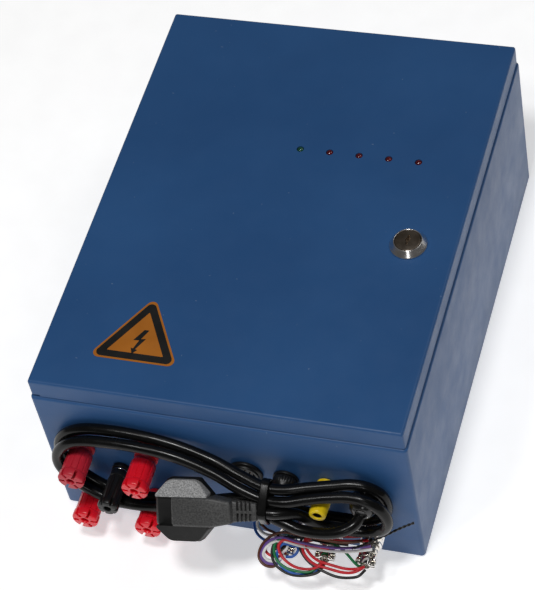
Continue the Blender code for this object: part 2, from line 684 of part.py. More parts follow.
def cam_screw(axis):
    seat = BARREL_END - 0.4 - 2.7 - 0.3
    profile = [(5.0, seat - 2.4), (5.0, seat), (1.6, seat), (1.6, seat + 6)]
    add_object("cam_screw", turned(profile, 16), ZINC, at=(*LOCK_XY, DEPTH), parent=axis)


# ================================================================ binding posts
KNOB_SEGMENTS = 24
KNOB_GAP = 4.5              # millimetres from the panel to the knob's inner end
WASHER_SEAT = 3.2


def post_base(name, spot, finish, collar, stud_length):
    """Insulated collar, through stud and back nut, which stay in the panel."""
    profile = [
        (2, -14), (2, -6.8), (6.5, -6.8), (6.5, -1.8), (3.7, -1.8), (3.7, 0.3),
        (collar, 0.3), (collar, 2.9), (2, 2.9), (2, stud_length),
    ]
    add_object(name, turned(profile, 16), finish, at=out_of_panel(spot), turn=PANEL_TURN)


def clamp_washer(name, spot, radius):
    low = WASHER_SEAT
    profile = [(2.5, low), (radius, low), (radius, low + 1), (2.5, low + 1)]
    add_object(name, turned(profile, 16, closed=True), BRASS, at=out_of_panel(spot), turn=PANEL_TURN)


def knob_ring(radius, height, notch=0.0, lobes=6):
    """One ring of a knob; notch is how deep each of the grooves between its lobes is cut."""
    points = []
    per_lobe = KNOB_SEGMENTS // lobes
    for i in range(KNOB_SEGMENTS):
        r = radius - (notch if i % per_lobe == 0 else 0.0)
        angle = 2 * pi * i / KNOB_SEGMENTS
        points.append((r * MM * cos(angle), r * MM * sin(angle), height * MM))
    return points


def knob(name, spot, finish, radius, end, neck, neck_end):
    """Insulated thumb nut: neck, ribbed grip and a notched, wider outer end, bored for a test plug."""
    start = KNOB_GAP
    bore = 2.5
    rings = [
        knob_ring(bore, start), knob_ring(neck, start), knob_ring(neck, neck_end),
        knob_ring(radius, neck_end + 1, 0.5), knob_ring(radius, end - 6, 0.5), knob_ring(radius + 0.4, end - 5.5, 2.6),
        knob_ring(radius + 0.3, end - 0.8, 3.0), knob_ring(radius - 0.6, end, 3.0), knob_ring(bore, end),
    ]
    bm = bmesh.new()
    add_rings(bm, rings, closed=True)
    add_object(name, bm, finish, at=out_of_panel(spot), turn=PANEL_TURN)


def binding_posts():
    for label, spot in RED_POSTS.items():
        post_base(label + "_post", spot, RED_PLASTIC, 8, 24)
        clamp_washer(label + "_washer", spot, 6.5)
        knob(label + "_knob", spot, RED_PLASTIC, 8.4, 28.5, 7.4, 6.0)
    post_base("ground_post", GROUND_POST, BLACK_PLASTIC, 6.3, 28)
    clamp_washer("ground_washer", GROUND_POST, 5.2)
    knob("ground_knob", GROUND_POST, BLACK_PLASTIC, 6.4, 33, 6.0, 10.0)


def shield_post():
    """The smooth yellow post for the signal cable's screen."""
    base = [
        (1.8, -12), (1.8, -5.5), (6, -5.5), (6, -1.8), (3.7, -1.8), (3.7, 0.3),
        (6.4, 0.3), (6.4, 2), (1.8, 2), (1.8, 18),
    ]
    add_object("shield_post", turned(base, 16), YELLOW_PLASTIC, at=out_of_panel(SHIELD_POST), turn=PANEL_TURN)
    cap = [(2.2, 2.4), (6.3, 2.4), (6.3, 4), (5.5, 24), (4.8, 25), (2.2, 25)]
    add_object("shield_knob", turned(cap, 20, closed=True), YELLOW_PLASTIC, at=out_of_panel(SHIELD_POST), turn=PANEL_TURN)


# ================================================================ the other panel fittings
def io_socket():
    profile = [
        (9, -12), (9, -5.8), (11.8, -5.8), (11.8, -1.8), (9, -1.8), (9, 0.3), (11.6, 0.3), (11.6, 2.2),
        (10.2, 2.8), (9.6, 3.9), (7.6, 3.9), (7.6, -5), (5.2, -5), (5.2, 1.5),
    ]
    add_object("io_socket", turned(profile, 28), BLACK_PLASTIC, at=out_of_panel(SOCKET_AT), turn=PANEL_TURN)


def fuse():
    """Panel fuse holder, the glass link, and the knurled cap that carries it."""
    at = out_of_panel(FUSE_AT)
    holder = [
        (6.2, -36), (6.2, -5.3), (8.4, -5.3), (8.4, -1.8), (6.2, -1.8), (6.2, 0.3), (8.6, 0.3), (8.6, 2.2),
        (3.9, 2.2), (3.9, -33),
    ]
    add_object("fuse_holder", turned(holder, 20), BLACK_PLASTIC, at=at, turn=PANEL_TURN)
    cap = [
        (2.95, -0.6), (2.95, -4), (3.5, -4), (3.5, 2.6), (8.2, 2.6), (8.2, 5.5), (7.9, 8), (6.8, 10), (4.5, 11),
    ]
    add_object("fuse_cap", turned(cap, 20), BLACK_PLASTIC, at=at, turn=PANEL_TURN)
    add_object("fuse_link", turned([(2.6, -21), (2.6, -1)], 12), CLEAR_GLASS, at=at, turn=PANEL_TURN)


def power_gland():
    """Cable gland with a domed nut; the mains lead leaves its outer end."""
    profile = [
        (6.6, -12), (6.6, -6), (9, -6), (9, -1.8), (6.6, -1.8), (6.6, 0.3), (8.4, 0.3), (8.4, 4.3),
        (8, 4.3), (8, 12), (7.5, 14.8), (6.3, 17.2), (4.8, 18.8),
    ]
    add_object("power_gland", turned(profile, 24), BLACK_PLASTIC, at=out_of_panel(GLAND_AT), turn=PANEL_TURN)


def lead_plugs():
    """Three round metal plugs in panel sockets, each with a loose coupling ring and a cable clamp."""
    body = [
        (5.4, -11), (5.4, -4.8), (7.8, -4.8), (7.8, -1.8), (5.7, -1.8), (5.7, 0.3), (7.9, 0.3), (7.9, 2.2),
        (4.9, 2.2), (4.9, 14.7), (5.9, 14.7), (5.9, 22), (5.2, 23), (5.2, 30.4),
    ]
    ring = [(5.3, 2.6), (7.3, 2.6), (7.4, 3.4), (7.4, 12.8), (6.9, 14.2), (5.3, 14.2)]
    for number, spot in enumerate(LEAD_PLUGS, 1):
        at = out_of_panel(spot)
        plug = add_object(f"lead_plug_{number}", turned(body, 20), CHROME, at=at, turn=PANEL_TURN)
        boolean(plug, box((-6.8 * MM, -2.2 * MM, 24 * MM), (6.8 * MM, 2.2 * MM, 29.5 * MM)), "UNION")
        add_object(f"coupling_ring_{number}", turned(ring, 20, closed=True), CHROME, at=at, turn=PANEL_TURN)


# ================================================================ cords, tie and plug
def cord_tie():
    """The band that holds the hank together, wrapped closely round its five strands."""
    strand = CORD_DIAMETER / 2 + 1.5 * MM
    corners = [(-183.2, 84.3), (-183.9, 83.7), (-186.8, 71.2), (-193.3, 66.1), (-193.8, 66.3), (-196.5, 74.7), (-190.2, 79.7)]
    rings = []
    for grow, x in ((0, -2.8), (1.1 * MM, -2.8), (1.1 * MM, 2.8), (0, 2.8)):
        outline = outline_round(corners, strand + grow)
        rings.append([((TIE_X + x) * MM, y, z) for y, z in outline])
    bm = bmesh.new()
    add_rings(bm, rings, closed=True)
    add_object("cord_tie", bm, BLACK_PLASTIC)


def outline_round(corners, radius):
    """The taut outline, 32 points, round equal circles of that radius about the corners (millimetres)."""
    points = []
    for i in range(32):
        angle = 2 * pi * i / 32
        along = (cos(angle), sin(angle))
        y, z = max(corners, key=lambda c: c[0] * along[0] + c[1] * along[1])
        points.append((y * MM + radius * along[0], z * MM + radius * along[1]))
    return points


PLUG_AXIS = Vector((0.985, 0.05, 0.130)).normalized()     # from the plug's body to its lead
PLUG_FACING = Vector((0.0, -0.7, 0.714))                  # away from its pins
PLUG_LEAD_AT = 49.2                                       # millimetres from the body's middle to the lead's end
PLUG_LEAD_LOW = 1.5                                       # the lead's axis below the flange's middle
PLUG_PIN_APART = 19                                       # between the two round pins


def mains_plug():
    """Moulded two-pin plug with a side entry: octagonal flange, raised grip, strain relief and pins."""
    facing = (PLUG_FACING - PLUG_AXIS * PLUG_FACING.dot(PLUG_AXIS)).normalized()
    up = facing.cross(PLUG_AXIS)
    rotation = Matrix((PLUG_AXIS, up, facing)).transposed()
    lead_end = Vector(CORD_ROUTE[-1]) * MM
    middle = lead_end - PLUG_AXIS * (PLUG_LEAD_AT + 1.0) * MM + facing * PLUG_LEAD_LOW * MM
    bm = bmesh.new()
    octagon = [
        (19.8, 9.6), (19.8, -9.6), (10.4, -20.4), (-10.4, -20.4),
        (-19.8, -9.6), (-19.8, 9.6), (-10.4, 20.4), (10.4, 20.4),
    ]
    flange = [(1.0, -5), (1.0, 1), (0.84, 5.5)]
    add_rings(bm, [[(x * k * MM, y * k * MM, z * MM) for x, y in octagon] for k, z in flange])
    plug = add_object("mains_plug", bm, BLACK_PLASTIC, at=middle, turn=rotation.to_euler(), smooth=0)
    grip = box((-6 * MM, -9.6 * MM, -4 * MM), (33 * MM, 9.6 * MM, 10 * MM), 2.5 * MM)
    boolean(plug, grip, "UNION")
    relief = bmesh.new()
    sizes = [(24, 8.4, 4.6), (34, 8.2, 4.6), (46, 6.2, 4.4), (PLUG_LEAD_AT, 5.6, 4.2)]
    rings = []
    for x, half_width, half_height in sizes:
        turns = [2 * pi * i / 16 for i in range(16)]
        rings.append([(x * MM, half_width * MM * cos(a), (half_height * sin(a) - PLUG_LEAD_LOW) * MM) for a in turns])
    add_rings(relief, rings)
    boolean(plug, relief, "UNION")
    pins = bmesh.new()
    for side in (-1, 1):
        add_turned(pins, [(1.6, -24), (2.4, -22.5), (2.4, -4)], 12, (0, side * PLUG_PIN_APART / 2 * MM))
    boolean(plug, pins, "UNION")


def cords():
    add_tube("power_cord", CORD_ROUTE, CORD_DIAMETER, CORD_POINTS, BLACK_PVC)
    for number, route in enumerate(LEAD_ROUTES, 1):
        add_tube(f"lead_bundle_{number}", route, LEAD_DIAMETER, LEAD_POINTS, LEAD_PVC, sides=2)


def main():
    clear_scene()
    cabinet_shell()
    hinge_pins()
    mounting_plate()
    main_board()
    pulse_transformer()
    mains_transformer()
    storage_capacitor()
    backup_battery()
    battery_strap()
    tamper_switch()
    tamper_plunger()

    hinge_axis = add_axis("door_hinge_axis", (HINGE_X, 0, HINGE_Z))
    door_panel(hinge_axis)
    door_gasket(hinge_axis)
    board_top = led_board(hinge_axis)
    leds(hinge_axis, board_top)
    warning_label(hinge_axis)
    lock_housing(hinge_axis)
    lock_nut(hinge_axis)
    lock_core(hinge_axis)
    lock_cam(hinge_axis)
    cam_screw(hinge_axis)

    binding_posts()
    shield_post()
    io_socket()
    fuse()
    power_gland()
    lead_plugs()
    cord_tie()
    mains_plug()
    cords()
    bpy.context.view_layer.update()


main()
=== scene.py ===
"""Looks of the wall-mounted fence energizer, laid over its solids.

Sizes and places are millimetres in the solids' frame; make() and cord() turn them into metres. The cabinet
lies on its back, +Z out of the door, +X towards the lock, -Y out of the terminal panel.
"""

from math import cos, pi, radians, sin

import bmesh
import bpy
from mathutils import Matrix, Vector


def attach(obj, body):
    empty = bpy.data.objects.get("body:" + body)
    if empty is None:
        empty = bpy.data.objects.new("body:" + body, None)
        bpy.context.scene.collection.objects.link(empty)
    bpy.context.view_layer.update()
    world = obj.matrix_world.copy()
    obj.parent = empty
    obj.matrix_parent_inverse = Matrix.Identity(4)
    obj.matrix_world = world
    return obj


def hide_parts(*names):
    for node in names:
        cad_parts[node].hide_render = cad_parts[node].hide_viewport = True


MM = 0.001
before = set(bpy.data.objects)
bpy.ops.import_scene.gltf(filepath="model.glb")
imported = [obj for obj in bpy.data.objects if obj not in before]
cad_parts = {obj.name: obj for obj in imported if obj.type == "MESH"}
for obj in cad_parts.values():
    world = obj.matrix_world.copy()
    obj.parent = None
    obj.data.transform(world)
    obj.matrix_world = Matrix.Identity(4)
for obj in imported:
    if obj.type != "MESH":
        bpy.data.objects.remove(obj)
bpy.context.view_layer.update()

# ---------------------------------------------------------------- the solids' driving numbers
WIDTH, LENGTH, DEPTH = 250, 332, 136.5
SHEET, SKIRT, DOOR_INSET, DOOR_GAP = 1.5, 14, 1.2, 2
LIP_WIDTH, UPSTAND = 16.5, 7.5
FRONT = DEPTH - SKIRT - DOOR_GAP
PANEL_Y = -LENGTH / 2
DOOR_INNER = DEPTH - SHEET
LIP_UNDER = FRONT - SHEET
HINGE_X, HINGE_Z, HINGE_Y = -118.8, DEPTH - 6.5, 118
LOCK_XY = (92, -18)
LED_Y, LED_APART = 52, 20.5
LED_XS = [LED_APART * k for k in range(5)]
BOARD_STUDS = (-8, 90)
LABEL_CENTRE = (-60.5, -121)
RED_POSTS = {"out_pos": (-98, 72), "out_neg": (-98, 26), "in_pos": (-54, 72), "in_neg": (-54, 26)}
GROUND_POST, SHIELD_POST = (-75, 53), (67.5, 71)
RED_END, GROUND_END = 28.5, 33
SOCKET_AT, FUSE_AT, GLAND_AT = (13.5, 71), (40.5, 71), (94.5, 71)
LEAD_PLUGS = [(40.5, 26), (67.5, 26), (94.5, 26)]
PANEL_TURN = (pi / 2, 0, 0)


# ================================================================ materials
def new_material(name, colour, roughness, metallic=0.0, coat=0.0, specular=0.5):
    mat = bpy.data.materials.new(name)
    mat.use_nodes = True
    inputs = shader_of(mat).inputs
    inputs["Base Color"].default_value = (*colour, 1)
    inputs["Roughness"].default_value = roughness
    inputs["Metallic"].default_value = metallic
    inputs["Coat Weight"].default_value = coat
    inputs["Coat Roughness"].default_value = 0.12
    inputs["Specular IOR Level"].default_value = specular
    return mat


def shader_of(mat):
    return mat.node_tree.nodes["Principled BSDF"]


def node(mat, kind, **values):
    """A node whose named sockets hold constants."""
    made = mat.node_tree.nodes.new("ShaderNode" + kind)
    for socket, value in values.items():
        made.inputs[socket.replace("_", " ")].default_value = value
    return made


def link(mat, source, output, target, socket):
    mat.node_tree.links.new(source.outputs[output], target.inputs[socket])


def texture(mat, kind, **values):
    """A procedural texture laid on the piece's own coordinates."""
    made = node(mat, kind, **values)
    link(mat, node(mat, "TexCoord"), "Object", made, "Vector")
    return made


def noise(mat, scale, detail=3.0):
    return texture(mat, "TexNoise", Scale=scale, Detail=detail, Roughness=0.5)


def ramp(mat, source, output, stops):
    made = node(mat, "ValToRGB")
    for element, (place, colour) in zip(made.color_ramp.elements, stops):
        element.position = place
        element.color = (*colour, 1)
    link(mat, source, output, made, "Fac")
    return made


def add_bump(mat, source, strength, distance):
    bump = node(mat, "Bump", Strength=strength, Distance=distance)
    link(mat, source, "Fac", bump, "Height")
    link(mat, bump, "Normal", shader_of(mat), "Normal")


def vary_colour(mat, source, low, high):
    shades = ramp(mat, source, "Fac", [(0.35, low), (0.65, high)])
    link(mat, shades, "Color", shader_of(mat), "Base Color")
    return shades


def vary_roughness(mat, scale, detail, low, high):
    shades = ramp(mat, noise(mat, scale, detail), "Fac", [(0.3, (low,) * 3), (0.7, (high,) * 3)])
    link(mat, shades, "Color", shader_of(mat), "Roughness")


def powder_coat():
    """Satin blue powder coat: fine orange peel, faint cloudiness and a few pale specks of dust."""
    low, high, dust = (0.021, 0.079, 0.215), (0.026, 0.093, 0.245), (0.45, 0.53, 0.62, 1)
    mat = new_material("powder_coat_blue", high, 0.4, specular=0.3)
    shades = vary_colour(mat, noise(mat, 9, 4), low, high)
    dots = ramp(mat, noise(mat, 420, 0), "Fac", [(0.875, (0, 0, 0)), (0.895, (0.15, 0.15, 0.15))])
    mix = mat.node_tree.nodes.new("ShaderNodeMix")
    mix.data_type = "RGBA"
    first, second = [socket for socket in mix.inputs if socket.type == "RGBA"]
    second.default_value = dust
    links = mat.node_tree.links
    links.new(dots.outputs["Color"], mix.inputs["Factor"])
    links.new(shades.outputs["Color"], first)
    links.new([socket for socket in mix.outputs if socket.type == "RGBA"][0],
              shader_of(mat).inputs["Base Color"])
    vary_roughness(mat, 60, 3, 0.36, 0.46)
    add_bump(mat, noise(mat, 900, 2), 0.25, 0.0003)
    return mat


def colour_of(value):
    """A colour from three numbers, or a grey from one."""
    return value if isinstance(value, tuple) else (value,) * 3


def plastic(name, low, high, roughness, grain=1200, bump=0.15, coat=0.0, specular=0.4, mottle=40):
    mat = new_material(name, colour_of(high), roughness, coat=coat, specular=specular)
    vary_colour(mat, noise(mat, mottle), colour_of(low), colour_of(high))
    vary_roughness(mat, 120, 3, roughness - 0.05, roughness + 0.07)
    add_bump(mat, noise(mat, grain, 2), bump, 0.0002)
    return mat


def metal(name, low, high, roughness, bump=0.08):
    mat = new_material(name, high, roughness, 1.0)
    vary_colour(mat, noise(mat, 80, 4), low, high)
    vary_roughness(mat, 200, 4, max(roughness - 0.05, 0.03), roughness + 0.08)
    add_bump(mat, noise(mat, 700), bump, 0.0002)
    return mat


def zinc_plate():
    """Zinc plating with its patchy crystals."""
    mat = new_material("zinc_plate", (0.55, 0.57, 0.6), 0.35, 1.0)
    cells = texture(mat, "TexVoronoi", Scale=130)
    shades = ramp(mat, cells, "Color", [(0.0, (0.42, 0.43, 0.45)), (1.0, (0.62, 0.63, 0.65))])
    link(mat, shades, "Color", shader_of(mat), "Base Color")
    vary_roughness(mat, 150, 4, 0.28, 0.45)
    add_bump(mat, noise(mat, 500), 0.1, 0.0002)
    return mat


def circuit_board():
    """Green solder resist over copper tracks: a faint right-angled pattern."""
    mat = new_material("circuit_board", (0.01, 0.1, 0.04), 0.35)
    bricks = texture(
        mat, "TexBrick", Scale=120, Mortar_Size=0.03, Color1=(0.008, 0.075, 0.03, 1),
        Color2=(0.012, 0.11, 0.045, 1), Mortar=(0.03, 0.2, 0.08, 1),
    )
    link(mat, bricks, "Color", shader_of(mat), "Base Color")
    add_bump(mat, bricks, 0.2, 0.0001)
    vary_roughness(mat, 90, 3, 0.28, 0.42)
    return mat


def clear_lens(name, colour, glow):
    mat = new_material(name, colour, 0.08, coat=0.3)
    shader_of(mat).inputs["Transmission Weight"].default_value = 0.2
    shader_of(mat).inputs["IOR"].default_value = 1.5
    vary_colour(mat, noise(mat, 700), tuple(c * 0.7 for c in colour), glow)
    add_bump(mat, noise(mat, 900, 2), 0.05, 0.0001)
    return mat


def glass_tube():
    mat = new_material("fuse_glass", (0.85, 0.9, 0.9), 0.05)
    shader_of(mat).inputs["Transmission Weight"].default_value = 0.9
    vary_roughness(mat, 300, 3, 0.03, 0.09)
    return mat


COAT = powder_coat()
RED = plastic("red_plastic", (0.72, 0.006, 0.018), (0.88, 0.012, 0.028), 0.28, bump=0.1, coat=0.1)
# A darker copy of the red plastic for the output post, whose knob sits inside the cord's loops: painted
# shade.
SHADED_RED = plastic("shaded_red_plastic", (0.46, 0.014, 0.03), (0.58, 0.022, 0.042), 0.4)
YELLOW = plastic("yellow_plastic", (0.80, 0.55, 0.008), (0.90, 0.66, 0.015), 0.33, bump=0.1)
BLACK = plastic("black_plastic", 0.005, 0.009, 0.34, specular=0.35)
DULL_BLACK = plastic("dull_black_plastic", 0.006, 0.012, 0.5, bump=0.4, specular=0.3)
SHEATH = plastic("black_sheath", 0.003, 0.005, 0.22, grain=500, bump=0.08, specular=0.22)
PLUG_GREY = plastic("plug_grey", 0.036, (0.078, 0.078, 0.077), 0.42, grain=1300, bump=0.9, mottle=900)
# The upper cheek's black plastic drawn pale grey: a painted highlight for the sheen on its upward facet.
CHEEK_SHEEN = plastic("cheek_painted_sheen", 0.15, 0.46, 0.45, grain=1300, bump=1.0, mottle=1300)
DOME_BLACK = plastic("dome_black", 0.004, 0.007, 0.26, grain=300, bump=0.05, coat=0.25)
ZINC = zinc_plate()
CHROME = metal("chrome", (0.72, 0.70, 0.68), (0.82, 0.80, 0.78), 0.08, bump=0.03)
LOCK_CHROME = metal("lock_chrome", (0.74, 0.72, 0.70), (0.86, 0.84, 0.82), 0.2, bump=0.1)
NICKEL = metal("nickel", (0.66, 0.62, 0.56), (0.80, 0.76, 0.70), 0.16)
BRONZE = metal("bronze_plate", (0.26, 0.21, 0.16), (0.38, 0.32, 0.26), 0.26)
BRASS = metal("brass", (0.62, 0.44, 0.18), (0.78, 0.58, 0.28), 0.25)
RUBBER = plastic("foam_rubber", 0.012, 0.025, 0.85, grain=900, bump=0.8)
BOARD = circuit_board()
RESIN = plastic("potting_resin", (0.015, 0.015, 0.018), (0.03, 0.03, 0.034), 0.35, grain=150, bump=0.3)
CORE = metal("core_steel", (0.10, 0.09, 0.085), (0.2, 0.19, 0.18), 0.5, bump=0.3)
SLEEVE = plastic("capacitor_sleeve", (0.012, 0.02, 0.06), (0.02, 0.035, 0.1), 0.3, grain=300)
CASE = plastic("battery_case", (0.05, 0.05, 0.055), (0.085, 0.085, 0.09), 0.55, bump=0.4)
ORANGE = plastic("orange_film", (0.36, 0.115, 0.008), (0.43, 0.14, 0.01), 0.5, grain=400, bump=0.1)
INK = plastic("black_ink", 0.006, 0.012, 0.42, grain=500, bump=0.1)
GREEN_LENS = clear_lens("green_lens", (0.006, 0.05, 0.03), (0.012, 0.11, 0.06))
RED_LENS = clear_lens("red_lens", (0.05, 0.003, 0.006), (0.16, 0.006, 0.012))
GLASS = glass_tube()
ZINC_BRIGHT = metal("zinc_bright", (0.48, 0.49, 0.5), (0.66, 0.67, 0.68), 0.25)
ANODISED = metal("anodised_aluminium", (0.22, 0.22, 0.23), (0.34, 0.34, 0.35), 0.38, bump=0.15)
COPPER = metal("enamelled_copper", (0.42, 0.14, 0.05), (0.6, 0.22, 0.09), 0.25)
GREEN_BLOCK = plastic("green_block", (0.01, 0.16, 0.06), (0.015, 0.24, 0.09), 0.38)
RELAY_BLUE = plastic("relay_blue", (0.01, 0.05, 0.3), (0.015, 0.08, 0.42), 0.3)
TAPE = plastic("yellow_tape", (0.5, 0.36, 0.04), (0.66, 0.5, 0.07), 0.4, grain=200, bump=0.3)
PALE = plastic("white_plastic", (0.6, 0.59, 0.55), (0.74, 0.73, 0.7), 0.4)
RESISTOR = plastic("resistor_body", (0.38, 0.25, 0.12), (0.6, 0.45, 0.28), 0.45, grain=500)
EARTH_GREEN = plastic("earth_sheath", (0.02, 0.26, 0.05), (0.5, 0.45, 0.03), 0.35, grain=200)

# A word for what each material is, unless a piece gives its own; make() looks it up but does nothing with
# it. The others have no such word.
SLOTS = {
    "blue_paint": [COAT], "red_plastic": [RED, SHADED_RED], "yellow_plastic": [YELLOW],
    "black_plastic": [BLACK, DULL_BLACK, DOME_BLACK, PLUG_GREY, CHEEK_SHEEN], "zinc": [ZINC_BRIGHT],
    "chrome": [CHROME, LOCK_CHROME, NICKEL], "bronze": [BRONZE], "brass": [BRASS], "circuit_board": [BOARD],
    "resin": [RESIN], "core_steel": [CORE], "capacitor_sleeve": [SLEEVE], "battery_case": [CASE],
    "orange_film": [ORANGE, INK], "green_lens": [GREEN_LENS], "red_lens": [RED_LENS], "clear_glass": [GLASS],
}
SLOT_OF = {mat.name: slot for slot, mats in SLOTS.items() for mat in mats}


# ================================================================ mesh helpers
def make(name, bm, mat, body="cabinet", at=(0, 0, 0), turn=(0, 0, 0), replaces=None, smooth=35, slot=None):
    """A finished piece, in metres: mesh, material, place and the body that it moves with."""
    bmesh.ops.scale(bm, vec=(MM, MM, MM), verts=bm.verts)
    bmesh.ops.recalc_face_normals(bm, faces=bm.faces)
    obj = object_from(name, bm)
    obj.data.materials.append(mat)
    obj.location = Vector(at) * MM
    obj.rotation_euler = turn
    if smooth:
        obj.data.shade_smooth()
        obj.data.set_sharp_from_angle(angle=radians(smooth))
    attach(obj, body)
    if replaces:
        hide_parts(replaces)
    slot = slot or SLOT_OF.get(mat.name)
    return obj


def object_from(name, bm):
    mesh = bpy.data.meshes.new(name)
    bm.to_mesh(mesh)
    bm.free()
    obj = bpy.data.objects.new(name, mesh)
    bpy.context.scene.collection.objects.link(obj)
    return obj


def on_panel(spot, name, bm, mat, body="cabinet", **settings):
    """A piece on the terminal panel, turned about the panel's outward axis."""
    return make(name, bm, mat, body, out_of_panel(spot), PANEL_TURN, **settings)


def out_of_panel(spot):
    return (spot[0], PANEL_Y, spot[1])


def cut(bm, tool, operation="DIFFERENCE"):
    """The exact Boolean of two closed bmeshes, as a new bmesh."""
    pair = []
    for side in (bm, tool):
        bmesh.ops.recalc_face_normals(side, faces=side.faces)
        pair.append(object_from("work", side))
    step = pair[0].modifiers.new("cut", "BOOLEAN")
    step.operation = operation
    step.solver = "EXACT"
    step.object = pair[1]
    bpy.context.view_layer.update()
    graph = bpy.context.evaluated_depsgraph_get()
    result = bmesh.new()
    result.from_mesh(pair[0].evaluated_get(graph).to_mesh())
    for obj in pair:
        bpy.data.objects.remove(obj, do_unlink=True)
    if not result.faces:
        raise ValueError("the Boolean left nothing")
    return result


def add_rings(bm, rings, closed=False):
    """Skin a row of equal rings, with flat ends, or joined end to end when closed."""
    rows = [[bm.verts.new(p) for p in ring] for ring in rings]
    pairs = list(zip(rows, rows[1:]))
    if closed:
        pairs.append((rows[-1], rows[0]))
    for low, high in pairs:
        for i in range(len(low)):
            j = (i + 1) % len(low)
            bm.faces.new((low[i], low[j], high[j], high[i]))
    if not closed:
        bm.faces.new(rows[0][::-1])
        bm.faces.new(rows[-1])


def skin(rings, closed=False):
    bm = bmesh.new()
    add_rings(bm, rings, closed)
    return bm


def prism(bm, outline, low, high):
    """A straight prism of a flat (x, y) outline between two heights."""
    add_rings(bm, [[(x, y, z) for x, y in outline] for z in (low, high)])


def arc(radius, count, at=(0, 0), first=0.0, last=2 * pi):
    """Points from the first angle up to, and without, the last."""
    angles = [first + (last - first) * i / count for i in range(count)]
    return [(at[0] + radius * cos(a), at[1] + radius * sin(a)) for a in angles]


def circle(radius, height, segments=64, at=(0, 0)):
    return [(x, y, height) for x, y in arc(radius, segments, at)]


def soften(profile, radius, steps=3, closed=False):
    """Round the corners of an outline or a profile."""
    points = [Vector(p) for p in profile]
    out = []
    count = len(points)
    for i, corner in enumerate(points):
        if not closed and i in (0, count - 1):
            out.append(tuple(corner))
            continue
        before = points[i - 1] - corner
        after = points[(i + 1) % count] - corner
        reach = min(radius, before.length * 0.45, after.length * 0.45)
        if reach < 1e-6:
            out.append(tuple(corner))
            continue
        start = corner + before.normalized() * reach
        end = corner + after.normalized() * reach
        for k in range(steps + 1):
            t = k / steps
            out.append(tuple(start * (1 - t) ** 2 + corner * (2 * t * (1 - t)) + end * t ** 2))
    return out


def add_turned(bm, profile, segments=64, at=(0, 0), closed=False, round_by=0.0):
    """Turn (radius, height) points about local Z."""
    if round_by:
        profile = soften(profile, round_by, closed=closed)
    add_rings(bm, [circle(r, h, segments, at) for r, h in profile], closed)


def turned(profile, segments=64, closed=False, round_by=0.0):
    bm = bmesh.new()
    add_turned(bm, profile, segments, closed=closed, round_by=round_by)
    return bm


def add_box(bm, low, high, bevel=0.0, segments=2):
    size = Vector(high) - Vector(low)
    middle = (Vector(high) + Vector(low)) / 2
    matrix = Matrix.Translation(middle) @ Matrix.Diagonal((*size, 1))
    made = bmesh.ops.create_cube(bm, size=1.0, matrix=matrix)["verts"]
    if bevel:
        edges = list(dict.fromkeys(edge for vert in made for edge in vert.link_edges))
        bmesh.ops.bevel(bm, geom=edges, offset=bevel, segments=segments, affect="EDGES", profile=0.5)


def boxes(*ends, bevel=0.0, segments=2):
    """Boxes between pairs of opposite corners, in one mesh."""
    bm = bmesh.new()
    for low, high in ends:
        add_box(bm, low, high, bevel, segments)
    return bm


def rounded_rectangle(width, length, height, radius, steps=7):
    points = []
    for sx, sy, start in [(1, 1, 0), (-1, 1, 90), (-1, -1, 180), (1, -1, 270)]:
        cx, cy = sx * (width / 2 - radius), sy * (length / 2 - radius)
        for k in range(steps + 1):
            angle = radians(start + 90 * k / steps)
            points.append((cx + radius * cos(angle), cy + radius * sin(angle), height))
    return points


def inset_rings(profile, corner=3, least=0.5):
    """Rings round the box, one for each (inset from its sides, height)."""
    return [rounded_rectangle(WIDTH - 2 * d, LENGTH - 2 * d, z, max(corner - d, least)) for d, z in profile]


# ================================================================ camera, light and floor
def camera():
    data = bpy.data.cameras.new("camera")
    data.sensor_fit = "VERTICAL"
    data.sensor_height = 36
    data.lens = 149.03
    obj = bpy.data.objects.new("camera", data)
    obj.location = (0.44645, -0.96671, 1.35202)
    obj.rotation_euler = (radians(38.5304), radians(8.3152), radians(15.6394))
    bpy.context.scene.collection.objects.link(obj)
    bpy.context.scene.camera = obj


def area_light(name, place, target, size, power):
    data = bpy.data.lights.new(name, "AREA")
    data.shape = "DISK"
    data.size = size
    data.energy = power
    obj = bpy.data.objects.new(name, data)
    obj.location = place
    obj.rotation_euler = (Vector(target) - Vector(place)).to_track_quat("-Z", "Y").to_euler()
    bpy.context.scene.collection.objects.link(obj)


def studio():
    """Soft lamps in a pale room, in metres."""
    world = bpy.data.worlds.new("studio")
    world.use_nodes = True
    background = world.node_tree.nodes["Background"]
    background.inputs["Color"].default_value = (1.0, 0.985, 0.97, 1)
    background.inputs["Strength"].default_value = 0.08
    bpy.context.scene.world = world
    bpy.context.scene.view_settings.view_transform = "Standard"
    bpy.context.scene.view_settings.look = "None"
    area_light("key", (0.05, -0.62, 1.88), (0, -0.05, 0.1), 0.3, 14.2)
    area_light("edge", (-0.48, -0.95, 1.8), (0, -0.1, 0.1), 0.22, 5)
    area_light("front", (0.3, -1.35, 0.75), (0.02, -0.17, 0.06), 0.25, 0.9)
    area_light("top", (0.9, 0.7, 1.6), (0, 0, 0.1), 0.8, 4)
    grid = bmesh.new()
    bmesh.ops.create_grid(grid, x_segments=2, y_segments=2, size=6.0)
    floor = object_from("floor", grid)
    floor.location = (0, 0, -0.0004)
    pale = plastic("floor_white", 0.86, 0.9, 0.6, grain=60, bump=0.02)
    shader_of(pale).inputs["Emission Color"].default_value = (1, 1, 1, 1)
    shader_of(pale).inputs["Emission Strength"].default_value = 0.5
    floor.data.materials.append(pale)


